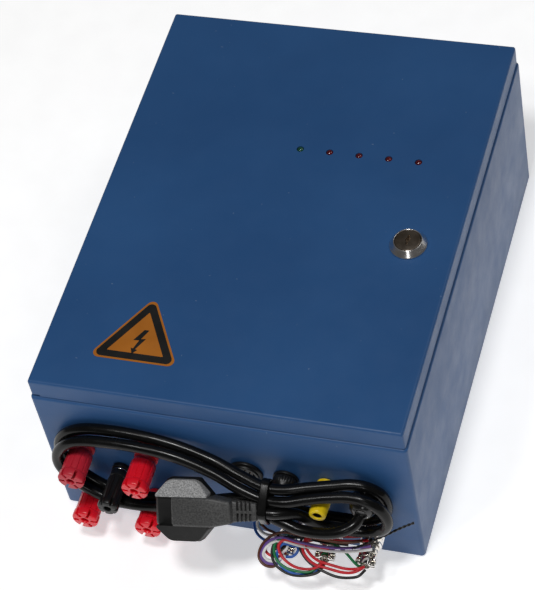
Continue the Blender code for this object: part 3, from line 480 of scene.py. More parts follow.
# ================================================================ cords
CORD_DIAMETER = 7.5
CORD_ROUTE = [
    # from the gland to the tie
    (94.5, -187, 71), (92.7, -192, 70.5), (88.3, -196, 69.2), (81.5, -198.4, 67.2), (73, -199.1, 65),
    (63, -198.6, 63.4), (55, -197.7, 63.2), (46, -195.9, 64.9), (34, -193.5, 66.9),
    # first lower strand, under the posts
    (23, -192.5, 66.8), (7, -188.5, 60.5), (-14, -183, 51), (-36, -178.5, 43),
    (-55, -177, 39.5), (-74, -176.3, 39.2), (-88, -174.5, 42.5), (-99, -173, 49),
    # round the output post and back along the top, next to the panel
    (-108.5, -171.6, 58), (-112.8, -171, 69.5), (-110.8, -170.5, 82.5), (-103, -170.4, 93),
    (-91, -170.4, 99.5), (-72, -170.4, 102), (-50, -170.5, 101), (-26, -171.2, 96.5), (-2, -174.2, 90.2),
    (17, -179.7, 86.2), (34, -184, 84),
    # over the shield post and round the gland
    (46, -183.5, 83.8), (60, -179.6, 84.2), (75, -175.8, 84.7), (87, -173, 85), (97, -172.2, 83.4),
    (105.3, -172, 77), (107.8, -172.1, 67), (106, -172.1, 56), (99, -172, 48), (88, -172.8, 44.6),
    (72, -176.5, 49.5), (57, -181.5, 58.5), (45.5, -185.6, 67.3), (34, -187.3, 72),
    # second lower strand
    (21.5, -186.6, 72), (5, -187.4, 68.8), (-14, -188.5, 60), (-36, -186.5, 47.5),
    (-55, -184.8, 40.5), (-74, -184, 39.5), (-87, -182.5, 42), (-98, -181, 47.5),
    # second loop and second top strand
    (-107.3, -179.6, 55.5), (-112.2, -178.8, 67), (-110.5, -178.3, 79), (-103, -178.1, 89.5),
    (-91, -178.1, 96.5), (-72, -178.1, 99.5), (-50, -178.3, 99.5), (-26, -179.1, 96), (-2, -182.2, 89.2),
    (17, -187.2, 83), (34, -190.1, 79.4),
    # over the shield post again, back to the tie and into the plug
    (47, -190.2, 80), (60, -187, 81.6), (75, -183.7, 83.2), (88, -182, 84.1), (98.5, -182.2, 82.9),
    (107, -182.6, 76.6), (110.5, -182.7, 66.5), (108.5, -182.3, 55.5), (100.5, -181.9, 48), (89, -182, 45.6),
    (76, -184.8, 50.5), (66.5, -187.2, 55.8), (59.5, -189.2, 63), (54, -191, 69.3), (48, -194, 73.2),
    (41, -196.3, 74.4), (35.5, -196.6, 74.7), (30.3, -196.4, 74.7),
]


def curve_through(route, steps):
    """Points on the centripetal Catmull-Rom curve through the route."""
    knots = [Vector(p) for p in route]
    knots = [2 * knots[0] - knots[1]] + knots + [2 * knots[-1] - knots[-2]]
    points = []
    for i in range(1, len(knots) - 2):
        p0, p1, p2, p3 = knots[i - 1:i + 3]
        t1 = (p1 - p0).length ** 0.5
        t2 = t1 + (p2 - p1).length ** 0.5
        t3 = t2 + (p3 - p2).length ** 0.5
        for step in range(steps):
            t = t1 + (t2 - t1) * step / steps
            a1 = p0.lerp(p1, t / t1)
            a2 = p1.lerp(p2, (t - t1) / (t2 - t1))
            a3 = p2.lerp(p3, (t - t2) / (t3 - t2))
            b1 = a1.lerp(a2, t / t2)
            b2 = a2.lerp(a3, (t - t1) / (t3 - t1))
            points.append(b1.lerp(b2, (t - t1) / (t2 - t1)))
    return points + [knots[-2]]


def cord(name, route, steps, diameter, mat, slot, sides, replaces=None, **facts):
    """A cord of the given diameter along its route; the facts said about it, such as its exit, are not used.
    """
    points = [place * MM for place in curve_through(route, steps)]
    curve = bpy.data.curves.new(name, "CURVE")
    curve.dimensions = "3D"
    curve.bevel_depth = diameter / 2 * MM
    curve.bevel_resolution = sides
    curve.use_fill_caps = True
    spline = curve.splines.new("POLY")
    spline.points.add(len(points) - 1)
    for point, place in zip(spline.points, points):
        point.co = (*place, 1.0)
    spline.use_smooth = True
    curve.materials.append(mat)
    obj = bpy.data.objects.new(name, curve)
    bpy.context.scene.collection.objects.link(obj)
    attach(obj, "cabinet")
    if replaces:
        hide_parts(replaces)


def power_cord(plug_pieces):
    cord("mains_lead", CORD_ROUTE, 8, CORD_DIAMETER, SHEATH, "black_pvc", 10, "power_cord", far_end="plug",
         stiffness="medium", lay="coiled", with_pieces=plug_pieces)


# ================================================================ the folded steel
def bend(side, top, radius=2.0):
    """The fold between a side and the face above it, seven points of (inset, height)."""
    turns = [radians(90 - 15 * k) for k in range(7)]
    return [(side + radius * (1 - sin(a)), top - radius * (1 - cos(a))) for a in turns]


def cabinet():
    back = [(1.5 * (1 - sin(a)), 1.5 * (1 - cos(a))) for a in (radians(22.5 * k) for k in range(5))]
    lip = [(LIP_WIDTH - 0.6, FRONT), (LIP_WIDTH, FRONT + 0.6), (LIP_WIDTH, FRONT + UPSTAND)]
    inner = [(LIP_WIDTH + SHEET, FRONT + UPSTAND), (LIP_WIDTH + SHEET, LIP_UNDER), (SHEET, LIP_UNDER),
             (SHEET, SHEET)]
    bm = skin(inset_rings(back + bend(0, FRONT) + lip + inner))
    extras = bmesh.new()
    for x, y in [(sx * 88, sy * 122) for sx in (-1, 1) for sy in (-1, 1)]:
        add_turned(extras, [(4, 0.7), (4, 9.7), (2, 9.7), (2, 16.7), (1.7, 17)], 24, (x, y))
    add_turned(extras, [(5, 0.7), (5, 4), (3, 4), (3, 21.6), (2.6, 22)], 24, (-20, -146))
    for side in (-1, 1):
        add_bracket(extras, side * (HINGE_Y + 2), FRONT - 1, HINGE_Z)
    bm = cut(bm, extras, "UNION")
    bm = cut(bm, cabinet_holes())
    make("cabinet", bm, COAT, replaces="cabinet_shell", smooth=40)


def add_across(bm, outline, middle_y, half_length):
    """A prism along Y of an (x, z) outline."""
    add_rings(bm, [[(x, middle_y + side * half_length, z) for x, z in outline] for side in (-1, 1)])


def add_bracket(bm, middle_y, foot_z, eye_z):
    """A hinge ear: a straight foot with a round eye."""
    radius = 3.2
    up = 1 if eye_z > foot_z else -1
    outline = [(HINGE_X + radius, foot_z), (HINGE_X - radius, foot_z)]
    for step in range(17):
        angle = pi - pi * step / 16
        outline.append((HINGE_X + radius * cos(angle), HINGE_Z + up * radius * sin(angle)))
    add_across(bm, outline, middle_y, 1.5)


def add_pin_hole(bm, middle_y):
    add_across(bm, arc(2.0, 32, (HINGE_X, HINGE_Z)), middle_y, 2.5)


def cabinet_holes():
    bm = bmesh.new()
    spots = [(spot, 4.1) for spot in [*RED_POSTS.values(), GROUND_POST, SHIELD_POST]]
    spots += [(SOCKET_AT, 9.4), (FUSE_AT, 6.6), (GLAND_AT, 7.0)] + [(spot, 6.1) for spot in LEAD_PLUGS]
    for spot, radius in spots:
        add_rings(bm, [[(x, y, z) for x, z in arc(radius, 48, spot)] for y in (PANEL_Y - 2, PANEL_Y + 3)])
    for x, y in [(sx * 98, sy * 140) for sx in (-1, 1) for sy in (-1, 1)]:
        add_turned(bm, [(3.5, -2), (3.5, 4)], 32, (x, y))
    for side in (-1, 1):
        add_pin_hole(bm, side * (HINGE_Y + 2))
    return bm


def door():
    d, edge = DOOR_INSET, DEPTH - SKIRT
    skirt = [(d + SHEET, DOOR_INNER), (d + SHEET, edge), (d + 0.3, edge), (d, edge + 0.3)]
    bm = skin(inset_rings(skirt + bend(d, DEPTH)))
    bm = cut(bm, door_hem(d, edge), "UNION")
    extras = bmesh.new()
    for side in (-1, 1):
        add_bracket(extras, side * (HINGE_Y - 2), DOOR_INNER + 0.5, HINGE_Z - 0.001)
    top = DOOR_INNER + 0.5
    for x in BOARD_STUDS:
        add_turned(extras, [(1.4, top - 16), (1.4, top - 8.7), (3, top - 8.7), (3, top)], 24, (x, LED_Y))
    bm = cut(bm, extras, "UNION")
    holes = bmesh.new()
    add_turned(holes, [(9.5, DEPTH - 4), (9.5, DEPTH + 4)], 64, LOCK_XY)
    for x in LED_XS:
        add_turned(holes, [(2.5, DEPTH - 4), (2.5, DEPTH + 4)], 32, (x, LED_Y))
    for side in (-1, 1):
        add_pin_hole(holes, side * (HINGE_Y - 2))
        near, far = sorted((side * (HINGE_Y - 6.5), side * (HINGE_Y + 6.5)))
        add_box(holes, (-WIDTH / 2, near, edge - 1), (HINGE_X - 3.3, far, DOOR_INNER - 0.2))
    make("door", cut(bm, holes), COAT, "door", replaces="door_panel", smooth=40)


def door_hem(inset, edge):
    """The skirt's folded-back edge, on the three sides that swing clear of the hinge."""
    outside, inside = inset + 0.02, inset + SHEET - 0.02
    profile = [(outside, edge - 1.1), (outside, edge + 2), (inside, edge + 2), (inside, edge - 1.1)]
    hem = skin(inset_rings(profile), closed=True)
    return cut(hem, boxes(((-WIDTH, -LENGTH, edge - 5), (HINGE_X + 1, LENGTH, edge + 5))))


# ================================================================ on the door
def triangle(reach, corner, steps=8):
    """Rounded triangle, point up; reach is from its middle to the tips of its rounded corners."""
    points = []
    for k in range(3):
        toward = radians(90 + 120 * k)
        centre = ((reach - corner) * cos(toward), (reach - corner) * sin(toward))
        for step in range(steps + 1):
            angle = toward - radians(60) + radians(120) * step / steps
            points.append((centre[0] + corner * cos(angle), centre[1] + corner * sin(angle)))
    return points


def label():
    """The warning triangle: an orange film with a printed border and bolt."""
    at = (*LABEL_CENTRE, DEPTH)
    low, high = 0.18, 0.26
    film = bmesh.new()
    prism(film, triangle(31, 4), 0.02, 0.2)
    make("warning_film", film, ORANGE, "door", at, replaces="warning_label", smooth=0)
    outer, inner = triangle(28.9, 3.4), triangle(21.8, 0.35)
    sides = [(inner, low), (outer, low), (outer, high), (inner, high)]
    border = skin([[(x, y, z) for x, y in outline] for outline, z in sides], closed=True)
    make("warning_border", border, INK, "door", at, smooth=0)
    bolt = [(1.0, 10.5), (-4.6, 0.6), (-0.2, 0.9), (-2.6, -6.6), (-4.4, -6.2), (-2.2, -11.5), (1.0, -7.6),
            (-0.8, -7.1), (4.4, 2.8), (0.8, 2.2), (4.6, 10.5)]
    shape = bmesh.new()
    prism(shape, [(x * 0.9, y * 0.9 - 1.5) for x, y in bolt], low, high)
    make("warning_bolt", shape, INK, "door", at, smooth=0)


def indicators():
    names = ["led_power", "led_armed", "led_open_line", "led_short", "led_tamper"]
    dome = [(2.3 * cos(radians(a)), -0.9 + 1.7 * sin(radians(a))) for a in range(0, 90, 12)]
    lens = [(1.2, -9.5), (1.2, -4.2), (2.3, -4.2), (2.9, -3.9), (2.9, -2.8),
            (2.3, -2.8)] + dome + [(0.15, 0.8)]
    for name, x in zip(names, LED_XS):
        mat = GREEN_LENS if name == "led_power" else RED_LENS
        make(name + "_lens", turned(lens, 40), mat, "door", (x, LED_Y, DEPTH), replaces=name, smooth=50)


def lock():
    at = (*LOCK_XY, DEPTH)
    bezel = [(5.5, -17), (9, -17), (9, 0.25), (12.35, 0.25), (12.4, 0.8), (12.0, 1.2), (9.8, 4.3),
             (9.4, 4.85), (9.0, 4.85), (8.7, 4.3), (8.7, 3.4), (5.5, 3.4)]
    make("lock_bezel", turned(bezel, 96, closed=True, round_by=0.2), LOCK_CHROME, "door", at,
         replaces="lock_housing")
    plug = [(0.02, -20.1), (3, -20.1), (3, -17.4), (5.1, -17.4), (5.1, 3.8), (8.5, 3.8), (8.5, 4.3),
            (8.2, 4.7), (7.6, 4.85), (0.02, 4.95)]
    bm = cut(turned(plug, 96), boxes(((-0.75, -4.0, 1.5), (0.75, 4.0, 7))))
    bm = cut(bm, boxes(((-1.5, -1.0, 3.1), (1.5, 1.4, 7))))
    make("lock_plug", bm, BRONZE, "lock", at, replaces="lock_core")


# ================================================================ binding posts
def fluted(lobes, sharp, *levels):
    """Rings of (radius, height, depth of the grooves between the lobes)."""
    rings = []
    for radius, height, depth in levels:
        ring = []
        for i in range(96):
            angle = 2 * pi * i / 96
            dip = max(0.0, 1 - abs(sin(lobes * angle / 2)) * sharp) ** 1.2
            reach = radius - depth * dip
            ring.append((reach * cos(angle), reach * sin(angle), height))
        rings.append(ring)
    return rings


def plain(*levels):
    return [circle(radius, height, 96) for radius, height in levels]


def post_fixed(name, spot, end, mat, collar, washer):
    """The stud with its collar and back nuts, and the loose washer under the knob."""
    base = [(0.02, -14), (2, -14), (2, -6.8), (6.5, -6.8), (6.5, -1.8), (3.7, -1.8), (3.7, 0.3),
            (collar, 0.3), (collar, 2.9), (2, 2.9), (2, end - 5), (0.02, end - 5)]
    on_panel(spot, name + "_base", turned(base, 48, round_by=0.35), mat, replaces=name + "_post")
    ring = turned([(2.5, 3.2), (washer, 3.2), (washer, 4.2), (2.5, 4.2)], 48, closed=True, round_by=0.25)
    on_panel(spot, name + "_ring", ring, NICKEL, name + "_clamp", replaces=name + "_washer", slot="brass")
    nuts = bmesh.new()
    for low in (-10.2, -13.6):
        nut = [(2.05, low), (3.9, low), (4.1, low + 0.3), (4.1, low + 2.5), (3.9, low + 2.8),
               (2.05, low + 2.8)]
        add_turned(nuts, nut, 6, closed=True)
    add_turned(nuts, [(2.05, -10.7), (5.5, -10.7), (5.5, -10.3), (2.05, -10.3)], 32, closed=True)
    on_panel(spot, name + "_nuts", nuts, BRASS, smooth=30)


def red_knob(name, spot, mat, end):
    """Clamp knob: smooth neck, twelve shallow flutes, and a wider end crown with six open slots."""
    rings = plain((2.5, 4.5), (7.1, 4.5), (7.4, 4.8), (7.4, 6.0), (8.0, 6.9))
    rings += fluted(12, 4.0, (8.3, 7.3, 0.15), (8.4, 8.2, 0.55), (8.35, end - 6.6, 0.6),
                    (8.3, end - 6.1, 0.4))
    rings += plain((8.65, end - 5.7), (8.85, end - 5.0), (8.85, end - 1.1), (8.5, end - 0.35), (7.8, end),
                   (3.0, end), (2.6, end - 0.4), (2.5, end - 1.2))
    slots = bmesh.new()
    for k in range(6):
        turn = radians(60 * k)
        corners = [(4.0, -0.95), (12, -0.95), (12, 0.95), (4.0, 0.95)]
        outline = [(x * cos(turn) - y * sin(turn), x * sin(turn) + y * cos(turn)) for x, y in corners]
        prism(slots, outline, end - 4.8, end + 1)
    bm = cut(skin(rings, closed=True), slots)
    on_panel(spot, name + "_grip", bm, mat, name + "_nut", replaces=name + "_knob", smooth=40)


def ground_knob(end):
    """Earth knob: long smooth neck, fluted body and a lobed end."""
    rings = plain((2.5, 4.5), (5.8, 4.5), (6.0, 4.8), (6.0, 9.0), (5.5, 9.4), (5.5, 10.0))
    rings += fluted(12, 3.0, (6.3, 10.5, 0.2), (6.4, 11.4, 0.6), (6.4, end - 6.4, 0.6))
    rings += fluted(6, 2.2, (6.5, end - 5.8, 1.2), (7.0, end - 4.8, 1.9), (7.05, end - 1.2, 2.1),
                    (6.7, end - 0.4, 2.0), (6.1, end, 1.8))
    rings += plain((2.9, end), (2.5, end - 0.4))
    bm = skin(rings, closed=True)
    on_panel(GROUND_POST, "ground_grip", bm, BLACK, "ground_nut", replaces="ground_knob", smooth=40)


def posts():
    for name, spot in RED_POSTS.items():
        # The output post's knob, ringed by the cord, takes the darker copy of the red: painted shade.
        mat = SHADED_RED if name == "out_pos" else RED
        post_fixed(name, spot, RED_END, mat, 8, 6.2)
        red_knob(name, spot, mat, RED_END)
    post_fixed("ground", GROUND_POST, GROUND_END, BLACK, 6.3, 5.2)
    ground_knob(GROUND_END)


def shield():
    base = [(0.02, -12), (1.8, -12), (1.8, -5.5), (6, -5.5), (6, -1.8), (3.7, -1.8), (3.7, 0.3), (6.4, 0.3),
            (6.4, 2), (1.8, 2), (1.8, 18), (0.02, 18)]
    on_panel(SHIELD_POST, "shield_base", turned(base, 48, round_by=0.3), YELLOW, replaces="shield_post")
    cap = [(2.2, 2.4), (6.3, 2.4), (6.35, 4), (5.55, 24), (5.0, 25), (3.3, 25), (3.0, 24.6), (3.0, 18.6),
           (2.2, 18.4)]
    bm = turned(cap, 64, closed=True, round_by=0.35)
    on_panel(SHIELD_POST, "shield_cap", bm, YELLOW, "shield_nut", replaces="shield_knob")
    core = [(0.02, 17.9), (1.75, 17.9), (1.75, 21.8), (1.3, 22.3), (0.02, 22.4)]
    on_panel(SHIELD_POST, "shield_stud", turned(core, 32), BRASS, slot="zinc")
    # A black sleeve lining the cap's bore: painted shade that makes the hole dark.
    bore_shade = [(1.85, 18.5), (2.95, 18.7), (2.95, 24.0), (2.7, 24.0), (2.6, 19.2), (1.85, 19.0)]
    on_panel(SHIELD_POST, "shield_bore_shade", turned(bore_shade, 48, closed=True), BLACK, "shield_nut")


# ================================================================ the other panel fittings
def io_socket():
    body = [(0.02, -12), (9, -12), (9, -5.8), (11.8, -5.8), (11.8, -1.8), (9, -1.8), (9, 0.3), (11.6, 0.3),
            (11.6, 2.0), (10.6, 2.6), (9.8, 2.8), (9.6, 3.9), (7.9, 3.9), (7.6, 3.4), (7.6, -5), (5.2, -5),
            (5.2, 1.3), (4.9, 1.5), (0.02, 1.5)]
    on_panel(SOCKET_AT, "io_socket_shell", turned(body, 96, round_by=0.25), BLACK, replaces="io_socket")
    pins = bmesh.new()
    for spot in arc(3.1, 5, first=pi / 2, last=5 * pi / 2):
        add_turned(pins, [(0.02, 1.4), (0.5, 1.4), (0.5, 2.6), (0.25, 2.95), (0.02, 3.0)], 16, spot)
    on_panel(SOCKET_AT, "io_socket_pins", pins, BRASS)


def fuse():
    holder = [(0.02, -36), (6.2, -36), (6.2, -5.3), (8.4, -5.3), (8.4, -1.8), (6.2, -1.8), (6.2, 0.3),
              (8.6, 0.3), (8.6, 2.2), (3.9, 2.2), (3.9, -33), (0.02, -33)]
    on_panel(FUSE_AT, "fuse_body", turned(holder, 64, round_by=0.25), BLACK, replaces="fuse_holder")
    rings = plain((0.02, -0.6), (2.95, -0.6), (2.95, -4), (3.5, -4), (3.5, 2.6))
    rings += fluted(24, 1.6, (8.0, 2.6, 0.35), (8.2, 3.0, 0.45), (8.1, 6.5, 0.45))
    rings += plain((7.6, 7.4), (7.0, 8.4), (6.3, 10), (5.9, 10.6), (5.2, 10.95), (0.02, 11))
    knob = cut(skin(rings), boxes(((-4.2, -0.6, 10.1), (4.2, 0.6, 12))))
    on_panel(FUSE_AT, "fuse_knob", knob, BLACK, "fuse", replaces="fuse_cap")
    link_tube = turned([(0.02, -20.9), (2.5, -20.9), (2.5, -1), (0.02, -1)], 32, round_by=0.3)
    on_panel(FUSE_AT, "fuse_tube", link_tube, GLASS, "fuse", replaces="fuse_link")


def gland():
    nut = [(0.02, -12), (6.6, -12), (6.6, -6), (9, -6), (9, -1.8), (6.6, -1.8), (6.6, 0.3), (8.5, 0.3),
           (8.5, 4.2), (0.02, 4.2)]
    on_panel(GLAND_AT, "gland_base", turned(nut, 48, round_by=0.25), BLACK, replaces="power_gland")
    dome = [(0.02, 4.25), (8.3, 4.25), (8.5, 4.8), (8.5, 8), (9.0, 10), (9.1, 12.4), (8.8, 14.2),
            (8.1, 15.8), (7.1, 17.2), (5.9, 18.4), (4.9, 18.9), (4.2, 18.9), (3.8, 18.5), (3.8, 17.0),
            (0.02, 17.0)]
    on_panel(GLAND_AT, "gland_dome", turned(dome, 96, round_by=0.5), DOME_BLACK)


def lead_plug(number, spot):
    """Round cable plug: socket and nut in the panel, barrel, and a saddle clamp over the leads."""
    name = f"lead_plug_{number}"
    body = [(0.02, -11), (5.4, -11), (5.4, -4.8), (7.8, -4.8), (7.8, -1.8), (5.7, -1.8), (5.7, 0.3),
            (7.9, 0.3), (7.9, 2.2), (4.9, 2.2), (4.9, 14.7), (5.9, 14.7), (5.9, 15.4), (5.5, 15.9),
            (5.5, 17.2), (5.9, 17.6), (5.9, 20.2), (5.2, 20.8), (4.6, 21.0), (4.6, 23.4), (3.9, 23.8),
            (0.02, 23.8)]
    on_panel(spot, name + "_body", turned(body, 64, round_by=0.2), NICKEL, replaces=name)
    knurl = [(7.4 - 0.25 * (k % 2), 4 + 0.5 * k) for k in range(17)]
    ring = [(5.3, 2.6), (7.2, 2.6), (7.4, 3.2)] + knurl + [(7.4, 12.8), (6.9, 14.2), (5.3, 14.2)]
    on_panel(spot, name + "_collar", turned(ring, 64, closed=True), CHROME, f"ring_{number}",
             replaces=f"coupling_ring_{number}")
    clamp, screws = bmesh.new(), bmesh.new()
    for side in (-1, 1):
        x = side * 5.0
        prism(clamp, saddle(side), 23.9, 28.9)
        add_box(clamp, (x - 0.6, -2.6, 20.2), (x + 0.6, 2.6, 24.2), 0.2)
        screw = [(0.02, -2.6), (1.1, -2.6), (1.1, 1.6), (1.75, 1.6), (1.75, 2.2), (1.3, 2.8), (0.02, 2.9)]
        add_turned(screws, screw, 24, (x, 0))
    on_panel(spot, name + "_clamp", clamp, CHROME, smooth=30)
    screws = cut(screws, boxes(((-7, -0.3, 2.4), (7, 0.3, 4))))
    make(name + "_screws", screws, NICKEL, at=(spot[0], PANEL_Y - 26.4, spot[1]))


def saddle(side):
    """One half of a cable clamp: two flat ears and a half round between them."""
    over = [(3.8 * cos(radians(a)), side * (1.0 + 3.0 * sin(radians(a)))) for a in range(165, 14, -15)]
    under = [(3.0 * cos(radians(a)), side * (0.5 + 2.6 * sin(radians(a)))) for a in range(0, 181, 15)]
    left = [(-6.4, side * 0.5), (-6.4, side * 1.7), (-3.9, side * 1.7)]
    right = [(3.9, side * 1.7), (6.4, side * 1.7), (6.4, side * 0.5)]
    return left + over + right + under


# ================================================================ plug and tie
PLUG_AXIS = Vector((0.985, 0.05, 0.130)).normalized()
PLUG_FACING = Vector((0.0, -0.7, 0.714))
PLUG_LEAD_AT, PLUG_LEAD_LOW, PLUG_PIN_APART = 49.2, 1.5, 19


def mains_plug():
    """Moulded side-entry plug: flange, sloping cheeks, tapered grip, laddered relief, round pins."""
    facing = (PLUG_FACING - PLUG_AXIS * PLUG_FACING.dot(PLUG_AXIS)).normalized()
    turn = Matrix((PLUG_AXIS, facing.cross(PLUG_AXIS), facing)).transposed().to_euler()
    at = Vector(CORD_ROUTE[-1]) - PLUG_AXIS * (PLUG_LEAD_AT - 0.6) + facing * PLUG_LEAD_LOW
    pins = bmesh.new()
    for y in (-PLUG_PIN_APART / 2, PLUG_PIN_APART / 2):
        add_turned(pins, [(0.02, -24), (1.6, -24), (2.4, -22.6), (2.4, -4.4), (0.02, -4.4)], 32, (0, y))
    return [
        make("plug_flange", plug_flange(), DULL_BLACK, at=at, turn=turn, replaces="mains_plug"),
        # The upper cheek carries the painted highlight; the lower one is plain black.
        make("plug_cheek_upper", plug_cheek(1), CHEEK_SHEEN, at=at, turn=turn),
        make("plug_cheek_lower", plug_cheek(-1), DULL_BLACK, at=at, turn=turn),
        make("plug_grip", plug_grip(), PLUG_GREY, at=at, turn=turn),
        make("plug_relief", plug_relief(), PLUG_GREY, at=at, turn=turn, smooth=30),
        make("plug_pins", pins, NICKEL, at=at, turn=turn),
    ]


def plug_flange():
    octagon = [(19.8, 9.6), (19.8, -9.6), (10.4, -20.4), (-10.4, -20.4), (-19.8, -9.6), (-19.8, 9.6),
               (-10.4, 20.4), (10.4, 20.4)]
    levels = [(0.98, -5), (1.0, -4.5), (1.0, 0.6), (0.985, 1.2), (0.87, 4.6), (0.83, 5.2)]
    outline = soften(octagon, 1.6, 4, closed=True)
    return skin([[(x * k, y * k, z) for x, y in outline] for k, z in levels])


def plug_cheek(side):
    """A flat block beside the grip that slopes down from it."""
    corners = [(-17.2, 9.2), (18.2, 9.2), (18.2, 11.4), (10.4, 19.9), (-9.6, 19.9), (-17.2, 11.0)]
    flat = soften(corners, 3.4, 5, closed=True)
    rings = [[(x, y, 0.8) for x, y in flat]]
    for inset, sink in ((1.0, 0.8), (0.99, 0.35), (0.965, 0.0)):
        ring = [(x * inset, 13 + (y - 13) * inset) for x, y in flat]
        rings.append([(x, y, 9.0 - 0.40 * (y - 9.2) - sink) for x, y in ring])
    return skin([[(x, side * y, z) for x, y, z in ring] for ring in rings])


def plug_grip():
    """The tapering body, stated as (along, half width, top), with a fine moulding seam along its top."""
    grip, rings, seam = bmesh.new(), [], []
    levels = [(-6, 8.2, 8.6), (-5.8, 8.9, 9.3), (-5.2, 9.4, 9.8), (-4.4, 9.6, 10), (17, 9.6, 10),
              (20, 9.5, 9.9), (23, 9.15, 9.6), (32, 7.5, 8.0), (33, 7.2, 7.7), (33.6, 6.2, 6.7)]
    for x, half_width, top in levels:
        flat = rounded_rectangle(2 * half_width, top + 4, (top - 4) / 2, 1.8, 4)
        rings.append([(x, a, b + middle) for a, b, middle in flat])
        if -5 < x < 33:
            bead = [(-0.16, -0.2), (0.16, -0.2), (0.1, 0.13), (-0.1, 0.13)]
            seam.append([(x, y, top + z) for y, z in bead])
    add_rings(grip, rings)
    add_rings(grip, seam)
    return grip


def plug_relief():
    """The strain relief, with four slots on each side of its spine, above and below."""
    levels = [(31, 7.2, 5.6), (33.5, 7.0, 5.2), (35.6, 6.7, 4.5), (48.4, 5.8, 4.2), (49.1, 5.2, 3.8)]
    rings = []
    for x, half_width, half_height in levels:
        flat = rounded_rectangle(2 * half_width, 2 * half_height, -PLUG_LEAD_LOW, 1.4, 4)
        rings.append([(x, a, b + middle) for a, b, middle in flat])
    slots = bmesh.new()
    for low_x in (36.0 + 2.8 * k for k in range(4)):
        for near, far in ((-9, -0.9), (0.9, 9)):
            add_box(slots, (low_x, near, 0.2), (low_x + 1.7, far, 8))
            add_box(slots, (low_x, near, -12), (low_x + 1.7, far, -3.2))
    return cut(skin(rings), slots)


def wrapped(corners, radius, count=64):
    """A band's outline round a bundle of strands whose middles are the corners."""
    points = []
    for i in range(count):
        along = (cos(2 * pi * i / count), sin(2 * pi * i / count))
        y, z = max(corners, key=lambda c: c[0] * along[0] + c[1] * along[1])
        points.append((y + radius * along[0], z + radius * along[1]))
    return points


def tie():
    """The band that ties the hank, round its strands."""
    strands = [(-183.2, 84.3), (-183.9, 83.7), (-186.8, 71.2), (-193.3, 66.1), (-193.8, 66.3),
               (-196.5, 74.7), (-190.2, 79.7)]
    levels = [(0.0, -2.4), (0.7, -2.8), (1.1, -2.2), (1.0, 0), (1.1, 2.2), (0.7, 2.8), (0.0, 2.4)]
    rings = [[(34 + x, y, z) for y, z in wrapped(strands, 4.3 + grow)] for grow, x in levels]
    return make("cord_wrap", skin(rings, closed=True), SHEATH, replaces="cord_tie", slot="black_plastic")


# ================================================================ the thin leads of the cable plugs
WIRE = 1.9
LEAD_COLOURS = {
    "white": (0.9, 0.89, 0.87), "purple": (0.17, 0.08, 0.36), "brown": (0.13, 0.04, 0.02),
    "blue": (0.015, 0.12, 0.5), "green": (0.008, 0.2, 0.06), "red": (0.68, 0.012, 0.025),
    "black": (0.008, 0.008, 0.008),
}
